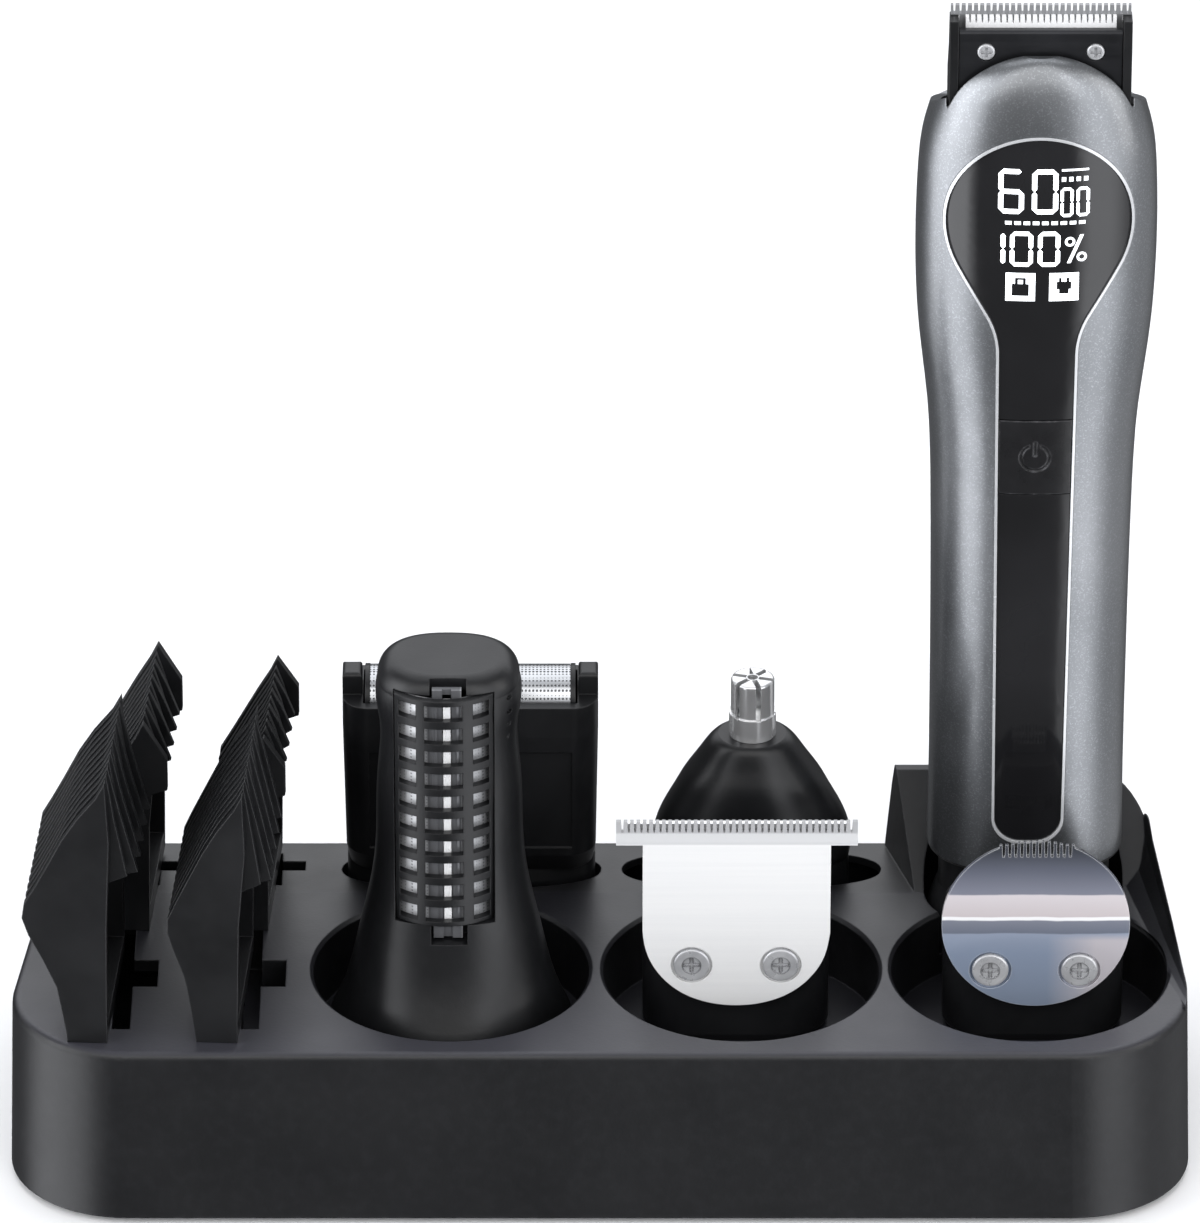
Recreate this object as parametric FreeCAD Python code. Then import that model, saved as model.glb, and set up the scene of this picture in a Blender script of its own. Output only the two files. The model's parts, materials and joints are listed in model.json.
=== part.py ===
import FreeCAD, Part
import math
import os

# Beard trimmer set: a cordless handset standing in a moulded stand, with its clip-on heads and
# guide combs. Millimetres. +X to the right, +Y to the back, +Z up. The origin is under the middle
# of the stand, at its underside; export() lifts every piece so that the feet stand on z = 0.

Vector = FreeCAD.Vector
os.makedirs("parts", exist_ok=True)

# ---------------------------------------------------------------- driving dimensions
# Stand
DECK_Z = 30.0            # top of the front deck
STRIP_Y = 16.5           # where the rear strip starts
STRIP_FALL = 1.2         # the rear strip falls away by this much at the back edge
STAND_FRONT_HALF, STAND_BACK_HALF = 100.6, 92.2
STAND_Y0, STAND_Y1 = -38.5, 38.5
FRONT_CORNER_R, BACK_CORNER_R = 20.0, 13.0
DRAFT = 2.7
WALL = 2.2
FLOOR_Z = 18.0           # floor of the round wells
WELL_R = 23.0
WELLS = [(-24.8, -8.0), (23.5, -8.0), (71.5, -8.0)]
SOCKETS = [(-24.9, -4.0), (22.6, -3.8), (72.2, -3.9)]
REAR_POCKETS = [(-21.7, 25.4), (25.6, 25.4)]
POCKET_W, POCKET_D = 43.8, 14.4
FRONT_SLOTS_X, REAR_SLOTS_X = (-79.2, -57.9), (-75.8, -55.2)
SLOT_BOTTOM = 21.0
STAND_SCREWS = [(-89.0, 15.0), (-46.5, -27.0), (48.0, 22.0), (89.5, -25.5)]
FEET = [(-82.0, -26.0), (82.0, -26.0), (-80.0, 24.0), (80.0, 24.0)]
FOOT_H = 1.2
FOOT_GAP = 0.01          # between a foot and the roof of its recess
FOOT_RECESS = 0.79
COVER_T = 1.8
LIFT = FOOT_H + FOOT_GAP

# Cradle round the foot of the handset
CRADLE_TOP = 44.8
CRADLE_X_FRONT, CRADLE_X_BACK = 53.0, 48.4
CRADLE_Y0, CRADLE_Y1 = 16.9, 34.6
CRADLE_LEAN = 0.0887     # of the slanting left end, per unit of height
# y, width of the sweep, x and z of the crest along the cradle's right flank
CRADLE_FLANK = [
    (-24.0, 0.9, 99.2, 30.15), (-17.0, 2.2, 98.2, 31.2), (0.0, 5.6, 95.9, 34.9),
    (12.0, 7.6, 94.4, 37.2), (20.5, 9.0, 93.4, 39.4), (26.5, 10.5, 92.6, 43.4),
    (34.6, 12.0, 91.8, 44.5),
]
# share of the sweep's width and of its height
FLANK_CURVE = [(0.4, 0.083), (0.7, 0.286), (0.9, 0.564), (1.0, 1.0)]

# Handset
HAND_X, HAND_Y = 71.3, 18.0
CAP_BOTTOM, CAP_TOP = 22.0, 40.3
SPLIT_Y = 20.0           # front and rear housing meet here
SPLIT_GAP = 0.03         # each side of the split
SHELL = 1.7
SHOULDER_Z = 175.0       # behind the front visor the housing stops here
VISOR_Y = 12.3
DISPLAY_Z, DISPLAY_R = 162.2, 15.6
BUTTON_Z0, BUTTON_Z1 = 113.0, 126.8
BUTTON_MID = (BUTTON_Z0 + BUTTON_Z1) / 2
INLAY_BOTTOM = 46.2
INLAY_NECK_R = 14.0      # hollow curve between display window and strip
TRIM_W = 0.44
POSTS = [(-12.5, 58.0), (12.5, 58.0), (-13.6, 150.0), (13.6, 150.0)]  # x from the axis, z
MOTOR_Y = 19.4           # motor and battery axis

# Drive
STROKE = 0.9             # each way, of a moving blade
PIN_R, PIN_ECC = 1.0, 0.9
YOKE_SLOT_HALF = PIN_R + PIN_ECC + STROKE + 0.15

# half width, half depth and centre y of the handset's skin against height z (first column)
SKIN = [
    (40.6, 16.35, 12.5, 18.0), (56, 16.25, 12.7, 18.0), (72, 16.3, 12.9, 18.0),
    (88, 16.4, 13.05, 18.0), (102, 16.55, 13.2, 18.0), (114, 16.8, 13.4, 18.0),
    (122, 17.15, 13.6, 18.0), (128, 17.8, 13.75, 18.0), (134, 18.6, 13.85, 18.0),
    (140, 19.25, 13.9, 18.0), (147, 19.65, 13.9, 18.0), (155, 19.8, 13.85, 18.05),
    (163, 19.7, 13.6, 18.2), (170, 19.35, 13.1, 18.5), (176, 18.3, 12.5, 18.8),
    (180.5, 16.7, 11.9, 19.0), (184.2, 15.1, 11.2, 19.2), (187.0, 11.9, 10.4, 19.4),
    (188.8, 8.3, 9.5, 19.5), (189.7, 4.6, 8.4, 19.6),
]
# heights of the sections the skin is lofted through
SKIN_Z = [40.6, 52, 66, 80, 94, 106, 116, 124, 132, 140, 149, 158, 166, 173.5, 179, 183.2,
          186.4, 188.5, 189.7]


# ---------------------------------------------------------------- helpers
def box(x0, x1, y0, y1, z0, z1):
    return Part.makeBox(x1 - x0, y1 - y0, z1 - z0, Vector(x0, y0, z0))


def slab(x, half_width, y0, y1, z0, z1):
    """Box centred on x."""
    return box(x - half_width, x + half_width, y0, y1, z0, z1)


def cyl(x, y, z, radius, height, direction=(0, 0, 1)):
    return Part.makeCylinder(radius, height, Vector(x, y, z), Vector(*direction))


def cyl_x(x, y, z, radius, length):
    return cyl(x, y, z, radius, length, (1, 0, 0))


def cyl_y(x, y, z, radius, length):
    return cyl(x, y, z, radius, length, (0, 1, 0))


def cone(x, y, z, radius0, radius1, height):
    return Part.makeCone(radius0, radius1, height, Vector(x, y, z))


def prism(points, direction):
    return Part.Face(Part.makePolygon(points + [points[0]])).extrude(Vector(*direction))


def plate_xz(points, y0, y1):
    return prism([Vector(x, y0, z) for x, z in points], (0, y1 - y0, 0))


def plate_yz(points, x0, x1):
    return prism([Vector(x0, y, z) for y, z in points], (x1 - x0, 0, 0))


def smooth_wire(points):
    """Closed curve through the points."""
    curve = Part.BSplineCurve()
    curve.interpolate(points, PeriodicFlag=True)
    return Part.Wire(curve.toShape())


def wire_of(runs, place=Vector):
    """Wire of lines (runs of two points) and arcs (three), each point put in space by place."""
    edges = []
    for run in runs:
        points = [place(point) for point in run]
        if len(points) == 2:
            edges.append(Part.makeLine(*points))
        else:
            edges.append(Part.Arc(*points).toShape())
    return Part.Wire(edges)


def rounded_wire(x, y, width, depth, radius, z):
    r = min(radius, width / 2 - 0.01, depth / 2 - 0.01)
    x0, x1, y0, y1 = x - width / 2, x + width / 2, y - depth / 2, y + depth / 2
    k = r * (1 - math.sqrt(0.5))
    return wire_of([
        [(x0 + r, y0), (x1 - r, y0)],
        [(x1 - r, y0), (x1 - k, y0 + k), (x1, y0 + r)],
        [(x1, y0 + r), (x1, y1 - r)],
        [(x1, y1 - r), (x1 - k, y1 - k), (x1 - r, y1)],
        [(x1 - r, y1), (x0 + r, y1)],
        [(x0 + r, y1), (x0 + k, y1 - k), (x0, y1 - r)],
        [(x0, y1 - r), (x0, y0 + r)],
        [(x0, y0 + r), (x0 + k, y0 + k), (x0 + r, y0)],
    ], lambda point: Vector(point[0], point[1], z))


def rounded_box(x, y, width, depth, radius, z0, z1):
    wire = rounded_wire(x, y, width, depth, radius, z0)
    return Part.Face(wire).extrude(Vector(0, 0, z1 - z0))


def oval_wire(x, y, half_width, half_depth, z, power=2.4, count=24):
    """Superellipse: power 2 is an ellipse, higher is squarer."""
    points = []
    for i in range(count):
        angle = 2 * math.pi * i / count
        dx, dy = half_width * math.cos(angle), half_depth * math.sin(angle)
        k = (abs(dx / half_width) ** power + abs(dy / half_depth) ** power) ** (-1.0 / power)
        points.append(Vector(x + dx * k, y + dy * k, z))
    return smooth_wire(points)


def oval_prism(x, y, half_width, half_depth, z0, z1, power=2.4):
    wire = oval_wire(x, y, half_width, half_depth, z0, power)
    return Part.Face(wire).extrude(Vector(0, 0, z1 - z0))


def loft(wires, ruled=False):
    return Part.makeLoft(wires, True, ruled)


def union(shapes):
    result = shapes[0]
    for shape in shapes[1:]:
        result = result.fuse(shape)
    return result


def fuse(*shapes):
    """Union with the seams between coplanar faces removed."""
    return union(shapes).removeSplitter()


def cut(shape, *tools):
    for tool in tools:
        shape = shape.cut(tool)
    return shape


def fillet_try(shape, edges, radius):
    # The kernel may refuse a fillet; the edges are then left sharp.
    try:
        rounded = shape.makeFillet(radius, edges)
        if rounded.isValid() and rounded.Volume > 0:
            return rounded
    except Exception:
        pass
    return shape


def mirrored(half):
    """Points of the +X half, followed back down the -X half."""
    return half + [(-x, z) for x, z in reversed(half)]


def shifted(points, dx):
    return [(x + dx, z) for x, z in points]


def coil(x, y, z, radius, wire_r, length, turns, along_y=True):
    """Spring starting at the given point and running towards +Y, or +Z."""
    helix = Part.makeHelix(length / turns, length, radius)
    profile = Part.Wire(Part.makeCircle(wire_r, Vector(radius, 0, 0), Vector(0, 1, 0)))
    spring = Part.Wire(helix.Edges).makePipeShell([profile], True, True)
    if along_y:
        spring.rotate(Vector(0, 0, 0), Vector(1, 0, 0), -90)
    spring.translate(Vector(x, y, z))
    return spring


def export(name, shape):
    shape.translate(Vector(0, 0, LIFT))
    solids = [solid for solid in shape.Solids if solid.Volume > 0.02]
    piece = solids[0] if len(solids) == 1 else Part.Compound(solids)
    piece.exportStep("parts/%s.step" % name)


# ---------------------------------------------------------------- stand
def stand_outline(z, inset=0.0):
    """Drafted outline of the stand with rounded corners at height z, drawn in by inset."""
    taper = z / DECK_Z * DRAFT
    y0, y1 = STAND_Y0 + taper + inset, STAND_Y1 - taper - inset
    front = STAND_FRONT_HALF - taper * 0.2 - inset
    back = STAND_BACK_HALF - taper * 0.2 - inset
    radii = [FRONT_CORNER_R - inset] * 2 + [BACK_CORNER_R - inset] * 2
    corners = [Vector(-front, y0, z), Vector(front, y0, z), Vector(back, y1, z),
               Vector(-back, y1, z)]
    arcs = []
    for i, (corner, radius) in enumerate(zip(corners, radii)):
        before = (corners[i - 1] - corner).normalize()
        after = (corners[(i + 1) % 4] - corner).normalize()
        half = math.acos(before.dot(after)) / 2
        reach = radius / math.tan(half)
        centre = corner + (before + after).normalize() * (radius / math.sin(half))
        middle = centre + (corner - centre).normalize() * radius
        arcs.append((corner + before * reach, middle, corner + after * reach))
    runs = []
    for i, arc in enumerate(arcs):
        runs += [arc, (arc[2], arcs[(i + 1) % 4][0])]
    return wire_of(runs)


def stand_blank():
    """Solid stand with the sloping rear strip and a rounded top rim."""
    blank = loft([stand_outline(0.0), stand_outline(DECK_Z)], True)
    y_far = 50
    slope = STRIP_FALL / (STAND_Y1 - DRAFT - STRIP_Y)
    blank = blank.cut(plate_yz([
        (STRIP_Y, DECK_Z), (y_far, DECK_Z - slope * (y_far - STRIP_Y)),
        (y_far, DECK_Z + 5), (STRIP_Y, DECK_Z + 5)], -105, 105))
    rim = []
    for edge in blank.Edges:
        bounds = edge.BoundBox
        at_strip = abs(bounds.YMin - STRIP_Y) < 0.01 and abs(bounds.YMax - STRIP_Y) < 0.01
        if bounds.ZMin > DECK_Z - STRIP_FALL - 0.3 and not at_strip:
            rim.append(edge)
    return fillet_try(blank, rim, 1.4)


def cradle_plan(z):
    x_front = CRADLE_X_FRONT + CRADLE_LEAN * (z - 30.9)
    x_back = CRADLE_X_BACK + CRADLE_LEAN * (z - 29.6)
    return Part.makePolygon([Vector(x, y, z) for x, y in (
        (x_front, CRADLE_Y0), (96.5, CRADLE_Y0), (96.5, CRADLE_Y1), (x_back, CRADLE_Y1),
        (x_front, CRADLE_Y0))])


def flank_section(y, width, x_crest, z_crest):
    x_foot, height = x_crest - width, z_crest - DECK_Z
    points = [(x_foot, DECK_Z - 1.5), (x_foot, DECK_Z - 0.02)]
    points += [(x_foot + width * across, DECK_Z + height * up) for across, up in FLANK_CURVE]
    points += [(101.5, z_crest), (101.5, DECK_Z - 1.5), (x_foot, DECK_Z - 1.5)]
    return Part.makePolygon([Vector(x, y, z) for x, z in points])


def cradle():
    """A wedge rising to the back with a slanting left end, and a swept right flank."""
    wedge = loft([cradle_plan(DECK_Z - 3), cradle_plan(CRADLE_TOP + 2)], True)
    wedge = wedge.common(plate_yz([
        (CRADLE_Y0, DECK_Z - 3), (CRADLE_Y0, DECK_Z + 0.05), (33.0, CRADLE_TOP - 0.3),
        (CRADLE_Y1, CRADLE_TOP), (CRADLE_Y1, DECK_Z - 3)], 40, 100))
    walls = wedge.fuse(loft([flank_section(*station) for station in CRADLE_FLANK], True))
    limits = loft([stand_outline(DECK_Z - 3, 0.0), stand_outline(DECK_Z + 20, 0.3)], True)
    walls = walls.common(limits)
    return walls.cut(box(40, 120, CRADLE_Y1 + 0.01, 60, 20, 60))


def underside_blocks():
    """Material left standing in the hollow underside: walls round the pockets, screw bosses."""
    blocks = [cyl(x, y, FLOOR_Z - 2.2, WELL_R + 1.9, 20) for x, y in WELLS]
    blocks += [rounded_box(x, y, 28.6, 16.6, 6.5, FLOOR_Z - 7.0, FLOOR_Z + 1)
               for x, y in SOCKETS]
    blocks += [oval_prism(x, y, POCKET_W / 2 + 1.8, POCKET_D / 2 + 1.8, FLOOR_Z - 1.2, DECK_Z, 2.6)
               for x, y in REAR_POCKETS]
    blocks.append(oval_prism(HAND_X, HAND_Y, 18.9, 15.0, CAP_BOTTOM - 2.2, DECK_Z + 2))
    blocks += [slab(x, 8.0, -30.0, 33.5, 19.0, DECK_Z) for x in FRONT_SLOTS_X]
    blocks.append(union([cyl(x, y, COVER_T + 0.1, 3.4, DECK_Z - 3.0) for x, y in STAND_SCREWS]))
    return union(blocks)


def stand_tray():
    tray = stand_blank().fuse(cradle())
    cavity = loft([stand_outline(-0.1, WALL), stand_outline(DECK_Z - WALL, WALL)], True)
    tray = tray.cut(cavity.cut(underside_blocks()))
    for x, y in WELLS:
        chamfer = cone(x, y, DECK_Z - 0.55, WELL_R, WELL_R + 0.7, 0.7)
        tray = tray.cut(cyl(x, y, FLOOR_Z, WELL_R, 40).fuse(chamfer))
    for x, y in SOCKETS:
        tray = tray.cut(rounded_box(x, y, 24.8, 12.8, 4.6, FLOOR_Z - 4.6, FLOOR_Z + 0.5))
    for x, y in REAR_POCKETS:
        tray = tray.cut(oval_prism(x, y, POCKET_W / 2, POCKET_D / 2, FLOOR_Z + 0.8, 60, 2.3))
    tray = tray.cut(oval_prism(HAND_X, HAND_Y, 16.75, 12.9, CAP_BOTTOM - 0.1, 80))
    # plus-shaped comb slots, with thinner arms at the back
    for x in FRONT_SLOTS_X:
        tray = tray.cut(slab(x, 1.5, -27.6, 6.6, SLOT_BOTTOM, 40))
        tray = tray.cut(slab(x, 5.6, -14.0, -5.4, SLOT_BOTTOM, 40))
    for x in REAR_SLOTS_X:
        tray = tray.cut(slab(x, 5.4, 24.9, 28.3, SLOT_BOTTOM, 40))
        tray = tray.cut(slab(x, 1.5, 19.4, 31.2, SLOT_BOTTOM, 40))
    for x, y in STAND_SCREWS:
        tray = tray.cut(cyl(x, y, 0.0, 1.05, 14.0))
    return max(tray.Solids, key=lambda solid: solid.Volume)


def stand_base_cover():
    """Plate let into the tray's underside, recessed for the feet."""
    cover = Part.Face(stand_outline(0.0, WALL + 0.25)).extrude(Vector(0, 0, COVER_T))
    cover = cut(cover, *[cyl(x, y, -1, 1.3, 5) for x, y in STAND_SCREWS])
    cover = cut(cover, *[cone(x, y, 0, 2.5, 1.3, 1.2) for x, y in STAND_SCREWS])
    return cut(cover, *[cyl(x, y, -FOOT_GAP, 5.1, FOOT_RECESS + FOOT_GAP) for x, y in FEET])


def stand_feet():
    return Part.Compound([cyl(x, y, -LIFT, 5.0, FOOT_H + FOOT_RECESS - FOOT_GAP)
                          for x, y in FEET])


def stand_screws():
    screws = []
    for x, y in STAND_SCREWS:
        screw = fuse(cone(x, y, 0.02, 2.4, 1.0, 1.15), cyl(x, y, 1.0, 1.0, 11.0))
        screws.append(cut(screw, slab(x, 1.5, y - 0.25, y + 0.25, -0.1, 0.6),
                          slab(x, 0.25, y - 1.5, y + 1.5, -0.1, 0.6)))
    return Part.Compound(screws)


# ---------------------------------------------------------------- handset skin and housings
def skin_value(z, column):
    """Straight interpolation in the SKIN table."""
    if z <= SKIN[0][0]:
        return SKIN[0][column]
    for low, high in zip(SKIN, SKIN[1:]):
        if z <= high[0]:
            share = (z - low[0]) / (high[0] - low[0])
            return low[column] + (high[column] - low[column]) * share
    return SKIN[-1][column]


def eased(z, column):
    """Table value averaged over a few millimetres, so that the skin has no kinks."""
    if z > 172:
        return skin_value(z, column)
    weights = total = 0.0
    for i in range(-6, 7):
        weight = math.exp(-(i / 3.0) ** 2)
        weights += weight
        total += weight * skin_value(z + i * 5.0 / 3.0, column)
    return total / weights


SKINS = {}               # finished lofts by offset


def skin(inset=0.0):
    """Solid bounded by the handset's skin, drawn in by inset."""
    if inset not in SKINS:
        SKINS[inset] = loft([
            oval_wire(HAND_X, eased(z, 3), max(eased(z, 1) - inset, 0.8),
                      max(eased(z, 2) - inset, 0.8), z, 2.4, 20) for z in SKIN_Z])
    return SKINS[inset]


def housing_shell():
    hollow = skin(SHELL).cut(slab(HAND_X, 30, -10, 50, 178.5, 220))
    shell = skin().cut(hollow)
    # behind the visor the rim slopes down to the back; a straight-sided opening takes the head
    shell = shell.cut(plate_yz([
        (VISOR_Y, 230), (VISOR_Y, 182.3), (18.0, 178.6), (26.0, 176.0), (60, SHOULDER_Z),
        (60, 230)], HAND_X - 30, HAND_X + 30))
    y_back = 27.3
    return shell.cut(rounded_box(HAND_X, (VISOR_Y + y_back) / 2, 30.4, y_back - VISOR_Y, 0.7,
                                 SHOULDER_Z, 230))


def front_half():
    return slab(HAND_X, 40, -30, SPLIT_Y - SPLIT_GAP, 0, 260)


def inlay_prism(inset):
    """Round display window running down into the long strip, drawn in by inset."""
    r = DISPLAY_R - inset
    cz = DISPLAY_Z
    # px, pz is the sharp corner between the window's tangent side and the strip
    px, pz = 6.7 - inset, 143.0
    angle = math.atan2(pz - cz, px) + math.acos(r / math.hypot(px, pz - cz))
    tx, tz = r * math.cos(angle), cz + r * math.sin(angle)
    bottom, half_width = INLAY_BOTTOM + inset, 6.0 - inset
    corner = 4.6 - inset * 0.5
    k = corner * (1 - math.sqrt(0.5))
    # unit directions from that corner, up to the window and down the strip
    ux, uz = tx - px, tz - pz
    wx, wz = half_width - px, bottom + corner - pz
    up, down = math.hypot(ux, uz), math.hypot(wx, wz)
    ux, uz, wx, wz = ux / up, uz / up, wx / down, wz / down
    half = math.acos(ux * wx + uz * wz) / 2
    neck = INLAY_NECK_R + inset
    reach = neck / math.tan(half)
    bx, bz = ux + wx, uz + wz
    depth = (reach / math.cos(half) - neck) / math.hypot(bx, bz)
    ax, az = px + ux * reach, pz + uz * reach
    ex, ez = px + wx * reach, pz + wz * reach
    mx, mz = px + bx * depth, pz + bz * depth
    side, inner = half_width, half_width - corner
    wire = wire_of([
        [(tx, tz), (0, cz + r), (-tx, tz)],
        [(-tx, tz), (-ax, az)],
        [(-ax, az), (-mx, mz), (-ex, ez)],
        [(-ex, ez), (-side, bottom + corner)],
        [(-side, bottom + corner), (-side + k, bottom + k), (-inner, bottom)],
        [(-inner, bottom), (inner, bottom)],
        [(inner, bottom), (side - k, bottom + k), (side, bottom + corner)],
        [(side, bottom + corner), (ex, ez)],
        [(ex, ez), (mx, mz), (ax, az)],
        [(ax, az), (tx, tz)],
    ], lambda point: Vector(HAND_X + point[0], -5.0, point[1]))
    return Part.Face(wire).extrude(Vector(0, 16.6, 0))


def front_housing():
    housing = housing_shell().common(front_half()).cut(inlay_prism(0.0))
    # a ledge inside the opening carries the trim and the inlay
    ledge = skin(SHELL - 0.02).cut(skin(SHELL + 1.0)).common(inlay_prism(-1.4))
    ledge = ledge.cut(inlay_prism(1.9)).common(slab(HAND_X, 30, -10, 11.0, 44.5, 178.4))
    housing = housing.fuse(ledge)
    post_y = 8.0
    for dx, z in POSTS:
        x = HAND_X + dx
        post = cyl_y(x, post_y, z, 2.4, SPLIT_Y - SPLIT_GAP - post_y)
        housing = housing.fuse(post.common(skin(0.3))).cut(cyl_y(x, 12.5, z, 1.02, 10))
    # a clear way behind the button so it can travel
    way = slab(HAND_X, 6.6, 5.5, 9.0, BUTTON_Z0 - 1.2, BUTTON_Z1 + 1.2)
    return housing.cut(way.common(skin(SHELL - 0.05)))


def rear_housing():
    rear_half = slab(HAND_X, 40, SPLIT_Y + SPLIT_GAP, 80, 0, 260)
    housing = housing_shell().common(rear_half)
    for dx, z in POSTS:
        x = HAND_X + dx
        housing = housing.fuse(cyl_y(x, SPLIT_Y + SPLIT_GAP, z, 2.6, 14).common(skin(0.3)))
        housing = housing.cut(cyl_y(x, SPLIT_Y - 1, z, 1.25, 30))
        housing = housing.cut(cyl_y(x, SPLIT_Y + 4.0, z, 2.15, 30))
    # grooves across the back
    for i in range(9):
        housing = housing.cut(cyl_x(HAND_X - 9.0, 31.75, 78.0 + i * 6.0, 0.9, 18.0))
    return housing


def housing_screws():
    """Screws driven from the back, with a cross recess."""
    tip_y = 13.2
    screws = []
    for dx, z in POSTS:
        x = HAND_X + dx
        screw = fuse(cyl_y(x, SPLIT_Y + 4.03, z, 2.0, 1.3),
                     cyl_y(x, tip_y, z, 0.98, SPLIT_Y + 4.5 - tip_y))
        screw = screw.cut(slab(x, 1.2, SPLIT_Y + 4.8, SPLIT_Y + 6, z - 0.22, z + 0.22))
        screw = screw.cut(slab(x, 0.22, SPLIT_Y + 4.8, SPLIT_Y + 6, z - 1.2, z + 1.2))
        screws.append(screw)
    return Part.Compound(screws)


def inlay_trim():
    """Thin rim round the display window and strip, standing a little proud of the skin."""
    rim = skin(-0.14).cut(skin(SHELL - 0.05)).common(inlay_prism(0.0))
    return rim.cut(inlay_prism(TRIM_W)).common(front_half())


def lens_layer():
    return skin(0.22).cut(skin(1.55)).common(inlay_prism(TRIM_W + 0.04))


def display_lens():
    return lens_layer().common(slab(HAND_X, 20, -10, 12, BUTTON_Z1 + 0.18, 190))


def lower_inlay():
    return lens_layer().common(slab(HAND_X, 20, -10, 12, 40, BUTTON_Z0 - 0.18))


def power_button():
    """Fills the strip between the two inlays; a power symbol is cut into its face."""
    button = skin(0.12).cut(skin(1.45)).common(inlay_prism(TRIM_W + 0.14))
    button = button.common(slab(HAND_X, 20, -10, 12, BUTTON_Z0, BUTTON_Z1))
    button = button.fuse(slab(HAND_X, 1.4, 5.6, 7.2, 118.5, 121.3))
    ring = cyl_y(HAND_X, -5, BUTTON_MID, 2.6, 20).cut(cyl_y(HAND_X, -6, BUTTON_MID, 2.1, 22))
    ring = ring.cut(slab(HAND_X, 0.9, -6, 20, BUTTON_MID, BUTTON_MID + 4))
    symbol = ring.fuse(slab(HAND_X, 0.25, -5, 15, BUTTON_MID + 0.3, BUTTON_MID + 3.0))
    return button.cut(symbol.common(skin(-1).cut(skin(0.34))))


# ---------------------------------------------------------------- bottom cap and internals
def bottom_cap():
    # height, half width and half depth
    stations = [(CAP_BOTTOM, 15.0, 11.3), (CAP_BOTTOM + 1.3, 16.0, 12.2),
                (CAP_BOTTOM + 4.5, 16.25, 12.4), (CAP_TOP, 16.3, 12.45)]
    cap = loft([oval_wire(HAND_X, HAND_Y, a, b, z) for z, a, b in stations])
    cap = cap.fuse(oval_prism(HAND_X, HAND_Y, 14.35, 10.45, CAP_BOTTOM + 8.0, CAP_TOP + 3.2))
    cap = cap.cut(oval_prism(HAND_X, HAND_Y, 13.1, 9.3, CAP_BOTTOM + 1.8, CAP_TOP + 5))
    return cap.cut(rounded_box(HAND_X, HAND_Y, 9.4, 3.6, 1.7, CAP_BOTTOM - 2, CAP_BOTTOM + 12))


def charge_socket():
    y, z = HAND_Y, CAP_BOTTOM
    socket = rounded_box(HAND_X, y, 9.2, 3.4, 1.6, z + 0.3, z + 8.6)
    socket = socket.cut(rounded_box(HAND_X, y, 8.5, 2.7, 1.3, z - 1, z + 7.4))
    socket = socket.fuse(slab(HAND_X, 3.3, y - 0.35, y + 0.35, z + 1.4, z + 8.0))
    return socket.fuse(slab(HAND_X, 7, y - 5.2, y + 5.2, z + 8.6, z + 9.8))


def battery_cell():
    return fuse(cyl(HAND_X, MOTOR_Y, 50.0, 7.1, 48.5), cyl(HAND_X, MOTOR_Y, 98.4, 2.6, 1.4))


def battery_contacts():
    return Part.Compound([slab(HAND_X, 5, MOTOR_Y - 3, MOTOR_Y + 3, z, z + 0.4)
                          for z in (99.95, 49.5)])


def motor_can():
    can = cyl(HAND_X, MOTOR_Y, 112.0, 8.6, 26.0).fuse(cyl(HAND_X, MOTOR_Y, 138.0, 3.0, 1.8))
    can = can.cut(cyl(HAND_X, MOTOR_Y, 111.0, 1.08, 32))
    # ring-shaped hollow, opened by a window in the back
    can = can.cut(cyl(HAND_X, MOTOR_Y, 116, 7.6, 18).cut(cyl(HAND_X, MOTOR_Y, 115, 4.6, 20)))
    return can.cut(slab(HAND_X, 9, MOTOR_Y + 7.0, MOTOR_Y + 9, 121, 129))


def motor_shaft():
    return cyl(HAND_X, MOTOR_Y, 112.6, 1.0, 45.6)


def eccentric_cam():
    cam = cyl(HAND_X, MOTOR_Y, 152.0, 4.2, 6.0).cut(cyl(HAND_X, MOTOR_Y, 151, 1.0, 7.2))
    hub = cyl(HAND_X, MOTOR_Y, 158.0, 3.0, 3.0).cut(cyl(HAND_X, MOTOR_Y, 157.9, 1.0, 0.35))
    return cam.fuse(hub).fuse(cyl(HAND_X, MOTOR_Y + PIN_ECC, 160.5, PIN_R, 20.5))


def chassis():
    """Frame carrying battery and motor; two thin legs join its halves."""
    frame = skin(SHELL + 0.35).common(slab(HAND_X, 9.6, 11.0, 40, 44.2, 146.5))
    gap = slab(HAND_X, 20, 10, 40, 102.5, 109.5)
    gap = gap.cut(box(HAND_X - 8.4, HAND_X - 6.4, 9, 41, 102, 110))
    gap = gap.cut(box(HAND_X + 6.4, HAND_X + 8.4, 9, 41, 102, 110))
    return cut(frame, cyl(HAND_X, MOTOR_Y, 49.3, 7.3, 51.2),
               cyl(HAND_X, MOTOR_Y, 111.6, 8.8, 27.2), cyl(HAND_X, MOTOR_Y, 137, 4.6, 20),
               slab(HAND_X, 5.2, 10, 40, 56, 92), slab(HAND_X, 5.2, 10, 40, 117, 133),
               cyl(HAND_X, MOTOR_Y, 100.0, 5.6, 12.0), gap)


def main_pcb():
    board = slab(HAND_X, 7.2, 8.9, 9.9, 62, 146)
    board = board.fuse(slab(HAND_X, 2.5, 9.9, 10.7, 70, 76))
    board = board.fuse(box(HAND_X - 4.5, HAND_X + 0.5, 8.1, 8.9, 86, 92))
    return board.fuse(box(HAND_X + 1.5, HAND_X + 4.0, 8.2, 8.9, 98, 101))


def tact_switch():
    return slab(HAND_X, 3.0, 8.05, 8.88, 117.0, 122.8)


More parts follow.
